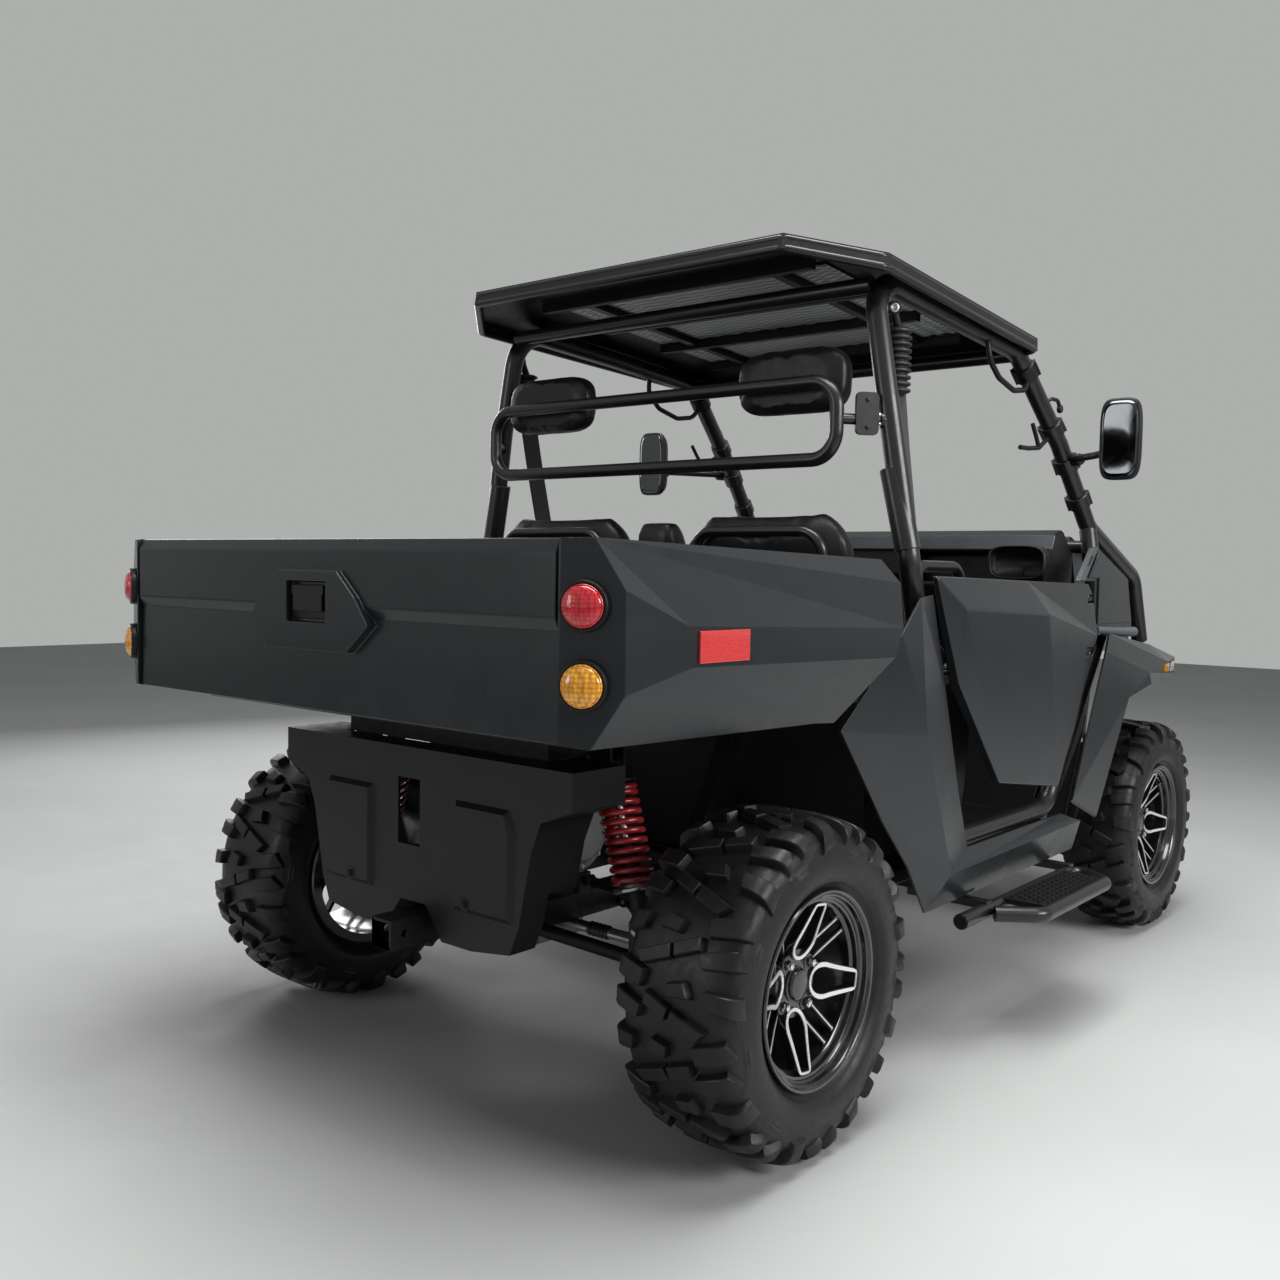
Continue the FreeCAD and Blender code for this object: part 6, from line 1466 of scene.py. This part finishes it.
def build_tailgate_details():
    """The latch's handle: a back plate, an upper bar and the grip below it."""
    latch = Shape()
    rear = -0.577
    block(latch, at(rear - 0.0029, -0.0598, 1.0062), at(rear - 0.0002, 0.0598, 1.0718))
    block(latch, at(rear - 0.0138, -0.050, 1.0525), at(rear - 0.001, 0.050, 1.0698))
    block(latch, at(rear - 0.0138, -0.046, 1.0215), at(rear - 0.0045, 0.046, 1.0535))
    piece("latch_handle", latch, "tailgate", "moulded_black", "tailgate_latch", bevel=0.003, bevel_angle=50)


def rounded_outline(width, height, corner, steps=5):
    """A rectangle with round corners, about its own centre."""
    points = []
    for a, b, start in ((1, 1, 0), (-1, 1, 90), (-1, -1, 180), (1, -1, 270)):
        for turn in np.radians(np.linspace(start, start + 90, steps)):
            points.append((a * (width / 2 - corner) + corner * math.cos(turn),
                           b * (height / 2 - corner) + corner * math.sin(turn)))
    return points


GRAB_LOOP = [(1.088, 0.572, 1.738), (1.094, 0.578, 1.672), (1.150, 0.580, 1.632), (1.246, 0.580, 1.610),
             (1.330, 0.578, 1.622), (1.356, 0.570, 1.668)]
HOOK = [(1.432, 0.580, 1.592), (1.462, 0.598, 1.612), (1.492, 0.604, 1.610), (1.512, 0.604, 1.588)]
LEVER = [(1.470, 0.586, 1.500), (1.405, 0.590, 1.470), (1.330, 0.592, 1.462), (1.272, 0.592, 1.460)]
LEVER_FORK = [(1.400, 0.592, 1.468), (1.372, 0.594, 1.500), (1.346, 0.594, 1.530)]


def build_fittings():
    """Small fittings on the cab tubes: guard plates, grab loops, hooks, a clamp and levers."""
    fittings = Shape()
    for sign in SIDES:
        way = unit([0.80, sign * 0.60, 0.0])
        plate = at(0.446, sign * 0.594, 1.462)
        slab(fittings, rounded_outline(0.054, 0.094, 0.012), 0.004, plate, way, (0, 0, 1), 0, -0.004)
        face = -sign * np.cross(way, (0, 0, 1))
        for rise in (-0.030, 0.030):
            bolt(fittings, plate + face * 0.004 + (0, 0, rise), face, 0.0042, 0.0035)
        tube(fittings, places(GRAB_LOOP, sign), 0.015, 0.050, 14)
        tube(fittings, places(HOOK, sign), 0.011, 0.016, 12)
        lathe(fittings, [(0, -0.006), (0.010, -0.006), (0.012, -0.003), (0.012, 0.003), (0.010, 0.006), (0, 0.006)],
              at(1.510, sign * 0.604, 1.588), (0, 1, 0), 20)
        split_clamp(fittings, ROOF_END, SCREEN_TOP, 0.14, 0.27, sign, 0.0315)
        tube(fittings, places(LEVER, sign), 0.013, 0.02, 12)
        tube(fittings, places(LEVER_FORK, sign), 0.012, 0.02, 12)
    piece("cab_fittings", fittings, "chassis", ["moulded_black", "steel"], bevel=0.0010, bevel_angle=50)


SHADE_FILLER = [(1.310, 0.500), (1.500, 0.500), (1.655, 0.660), (1.720, 0.800), (1.780, 1.000), (1.700, 1.000),
         (1.660, 0.930)]
FACING_FOOT, FACING_TOP = (1.5095, 0, 1.188), (1.5285, 0, 1.2285)
DASH_POD = [(1.520, 1.0), (1.478, 1.0), (1.466, 0.97), (1.4635, 0.92), (1.4700, 0.88), (1.4900, 0.84)]


def build_liners():
    """Dark filler plates as inner liners between the door posts and the front flares, put behind that gap to keep it
    dark (painted shade), the dash's facing strip in the lighter panel colour (painted highlight), and the dash's pod,
    rounded sections that shrink backwards and turn in round its recess."""
    filler_sheet = Shape()
    # Painted shade: dark plates put behind the gap so that it reads dark.
    for sign in SIDES:
        slab(filler_sheet, SHADE_FILLER, 0.004, at(0, sign * 0.646, 0), (1, 0, 0), (0, 0, 1))
    piece("flare_shade_fillers", filler_sheet, "chassis", "moulded_black", bevel=0.001, bevel_angle=50)
    # The facing strip is in the lighter copy of the panel colour: painted highlight.
    facing = Shape()
    strip = [(-0.598, 0.0), (0.598, 0.0), (0.598, 0.0445), (-0.598, 0.0445)]
    slab(facing, strip, -0.004, at(*FACING_FOOT), (0, 1, 0), np.subtract(FACING_TOP, FACING_FOOT))
    piece("dash_facing", facing, "chassis", "panel_edge", bevel=0.0015, bevel_angle=50)
    outline = superellipse(0.088, 0.050, 3.6, 48)
    pod = Shape().grid(np.array([upright_ring(ahead, -0.508, 1.150, outline * grow) for ahead, grow in DASH_POD]))
    piece("dash_pod", pod, "chassis", "moulded_black", weld=True)


ROOF_CORNERS = [(1.350, 0.520, 1.748), (1.290, 0.615, 1.752), (0.430, 0.640, 1.800), (0.270, 0.480, 1.832)]
# Beads under the roof's edge: drop, radius and distance out
ROOF_BEADS = [(0.0075, 0.0075, 0.0), (0.0300, 0.0095, 0.001)]


def build_roof_rim():
    """Two rolled beads round the roof's edge, each a closed tube with rounded corners."""
    border = [np.array(corner) for corner in ROOF_CORNERS] + [np.array((a, -y, z)) for a, y, z in ROOF_CORNERS[::-1]]
    beads = Shape()
    for drop, radius, out in ROOF_BEADS:
        route = []
        for corner in border:
            outwards = unit((corner[0] - 0.80, corner[1], 0.0))
            route.append(at(*(corner + outwards * out - (0, 0, drop))))
        last_middle = (route[-1] + route[0]) / 2
        path = rounded_path([last_middle] + route + [last_middle], 0.030, 6)[:-1]
        tangents = loop_tangents(path)
        outwards = unit_rows(np.cross(tangents, (0, 0, 1)))
        beads.grid(ring_points(path, outwards, np.cross(outwards, tangents), radius, 12), close_u=True, caps=False)
    piece("roof_beads", beads, "chassis", "cage_black", weld=True)


COWL_PLATE = [(1.580, 0.955), (1.905, 0.955), (1.853, 1.108), (1.590, 1.198), (1.575, 1.198), (1.487, 1.099),
              (1.580, 1.099)]
COWL_INSET = [(1.600, 0.975), (1.885, 0.975), (1.838, 1.096), (1.592, 1.180), (1.520, 1.108), (1.600, 1.108)]
COWL_CORNER = [(1.442, 1.101), (1.486, 1.101), (1.576, 1.1965), (1.537, 1.1925)]
COWL_SLOT = [(1.500, 1.142), (1.512, 1.142), (1.540, 1.172), (1.528, 1.172)]


def side_plate(shape, outline, inner, outer, sign, number=0):
    """A flat plate parallel to the middle plane, between two distances out, from an (ahead, height) outline."""
    slab(shape, outline, -sign * outer, at(0, 0, 0), (1, 0, 0), (0, 0, 1), number, -sign * inner)


def build_cowl_sides():
    """The cowl's side plates with their slotted corner piece and the roll along the flare's top; the corner piece and
    the roll in the lighter panel colour as painted highlight, the slot near black as painted shade.
    """
    plates, trims = Shape(), Shape()
    for sign in SIDES:
        side_plate(plates, COWL_PLATE, 0.690, 0.698, sign)
        side_plate(plates, COWL_INSET, 0.698, 0.7035, sign)
        # Corner piece and roll in the lighter panel colour as painted highlight; the slot near black as painted
        # shade.
        side_plate(trims, COWL_CORNER, 0.692, 0.7045, sign)
        side_plate(trims, COWL_SLOT, 0.704, 0.7052, sign, 1)
        tube(trims, places([(1.600, 0.694, 0.958), (1.930, 0.694, 0.945)], sign), 0.030, around=24)
    piece("cowl_plates", plates, "chassis", "body_panel", bevel=0.0035, bevel_angle=30, segments=3)
    piece("cowl_trims", trims, "chassis", ["panel_edge", "dark_gap"], bevel=0.003, bevel_angle=40, segments=3)


COVER_FACE = -0.340


def build_cover_bolts():
    """Two recessed bolts on the rear cover's pads, their heads near black as painted shade of the recess."""
    bolts = Shape()
    for side in (0.200, -0.170):
        place = at(COVER_FACE, side, 0.440)
        lathe(bolts, [(0, -0.001), (0.0155, -0.001), (0.0155, 0.0008), (0.0130, 0.0016), (0.0110, 0.0004),
                      (0, 0.0004)], place, (-1, 0, 0), 28, 0)
        # Bolt heads near black: painted shade of the recess.
        bolt(bolts, place - (0.0004, 0, 0), (-1, 0, 0), 0.0062, 0.0045, 1)
    piece("cover_bolts", bolts, "chassis", ["moulded_black", "dark_gap"])


build_fittings()
build_liners()
build_cowl_sides()
build_cover_bolts()
build_roof_rim()
build_tail_lamps()
build_front_lamps()
build_seats()
build_belts()
build_mirrors()
build_steering()
build_roof()
build_motor()
build_tailgate_details()


# Floor, light and camera

def build_stage():
    """A flat pale floor."""
    points = np.array([[(x, y, 0.0) for y in np.linspace(-14, 14, 3)] for x in np.linspace(-14, 14, 3)])
    mesh = bpy.data.meshes.new("floor")
    faces = [[r * 3 + c, r * 3 + c + 1, (r + 1) * 3 + c + 1, (r + 1) * 3 + c] for r in range(2) for c in range(2)]
    mesh.from_pydata(points.reshape(-1, 3).tolist(), [], faces)
    floor = bpy.data.objects.new("floor", mesh)
    bpy.context.scene.collection.objects.link(floor)
    mesh.materials.append(finish_material("pale_floor", (0.52, 0.53, 0.52), 0.75, 0.0, 60, 0.02, 0.08, 0.06,
                                          0.0, 0.8))


def area_light(name, place, target, size, power):
    """A soft rectangular light that faces its target."""
    data = bpy.data.lights.new(name, "AREA")
    data.shape = "RECTANGLE"
    data.size, data.size_y = size
    data.energy = power
    lamp = bpy.data.objects.new(name, data)
    bpy.context.scene.collection.objects.link(lamp)
    lamp.location = place
    lamp.rotation_mode = "QUATERNION"
    lamp.rotation_quaternion = (Vector(target) - Vector(place)).to_track_quat("-Z", "Y")


# Lights: name, place, target, size and power
LIGHTS = [
    ("overhead", (-0.6, -0.5, 4.0), (-0.1, 0, 0.6), (2.8, 2.8), 230),
    ("right_soft", (-0.2, -5.2, 2.8), (0, 0, 0.7), (3.0, 1.6), 170),
    ("rear_soft", (-5.6, 1.8, 1.9), (0, 0, 0.7), (1.2, 1.8), 26),
    ("left_soft", (1.5, 5.0, 2.6), (0, 0, 0.8), (3.0, 1.8), 80),
]


def build_light():
    """Soft lights round the vehicle, dim even light, and a pale background for what the camera, glossy surfaces
    and clear ones show."""
    for name, place, target, size, power in LIGHTS:
        area_light(name, place, target, size, power)
    world = bpy.data.worlds.new("studio")
    bpy.context.scene.world = world
    world.use_nodes = True
    tree = world.node_tree
    soft = next(n for n in tree.nodes if n.type == "BACKGROUND")
    soft.inputs["Color"].default_value = (0.80, 0.82, 0.84, 1)
    soft.inputs["Strength"].default_value = 0.16
    shown = tree.nodes.new("ShaderNodeBackground")
    shown.inputs["Color"].default_value = (0.42, 0.43, 0.42, 1)
    shown.inputs["Strength"].default_value = 1.0
    path = tree.nodes.new("ShaderNodeLightPath")
    seen = path.outputs["Is Camera Ray"]
    for kind in ("Is Glossy Ray", "Is Transmission Ray"):
        either = tree.nodes.new("ShaderNodeMath")
        either.operation = "MAXIMUM"
        tree.links.new(seen, either.inputs[0])
        tree.links.new(path.outputs[kind], either.inputs[1])
        seen = either.outputs[0]
    mix = tree.nodes.new("ShaderNodeMixShader")
    output = next(n for n in tree.nodes if n.type == "OUTPUT_WORLD")
    tree.links.new(seen, mix.inputs[0])
    tree.links.new(soft.outputs[0], mix.inputs[1])
    tree.links.new(shown.outputs[0], mix.inputs[2])
    tree.links.new(mix.outputs[0], output.inputs["Surface"])


CAMERA_PLACE = (-2.9021, -1.9851, 1.1110)
CAMERA_YAW, CAMERA_PITCH, CAMERA_ROLL = 0.7014, -0.0574, 0.0176


def build_camera():
    """The camera at the photograph's angle: turned by yaw and pitch, then rolled about its line of sight."""
    data = bpy.data.cameras.new("view")
    data.sensor_width = 36.0
    data.lens = 34.632
    camera = bpy.data.objects.new("view", data)
    bpy.context.scene.collection.objects.link(camera)
    yaw, pitch, roll = CAMERA_YAW, CAMERA_PITCH, CAMERA_ROLL
    ahead = Vector((math.cos(pitch) * math.cos(yaw), math.cos(pitch) * math.sin(yaw), math.sin(pitch)))
    right = ahead.cross(Vector((0, 0, 1))).normalized()
    up = right.cross(ahead)
    turned_right = right * math.cos(roll) + up * math.sin(roll)
    turned_up = up * math.cos(roll) - right * math.sin(roll)
    rows = [(turned_right[i], turned_up[i], -ahead[i], CAMERA_PLACE[i]) for i in range(3)]
    camera.matrix_world = Matrix((*rows, (0, 0, 0, 1)))
    bpy.context.scene.camera = camera


build_stage()
build_light()
build_camera()

bpy.context.scene.view_settings.view_transform = "Standard"
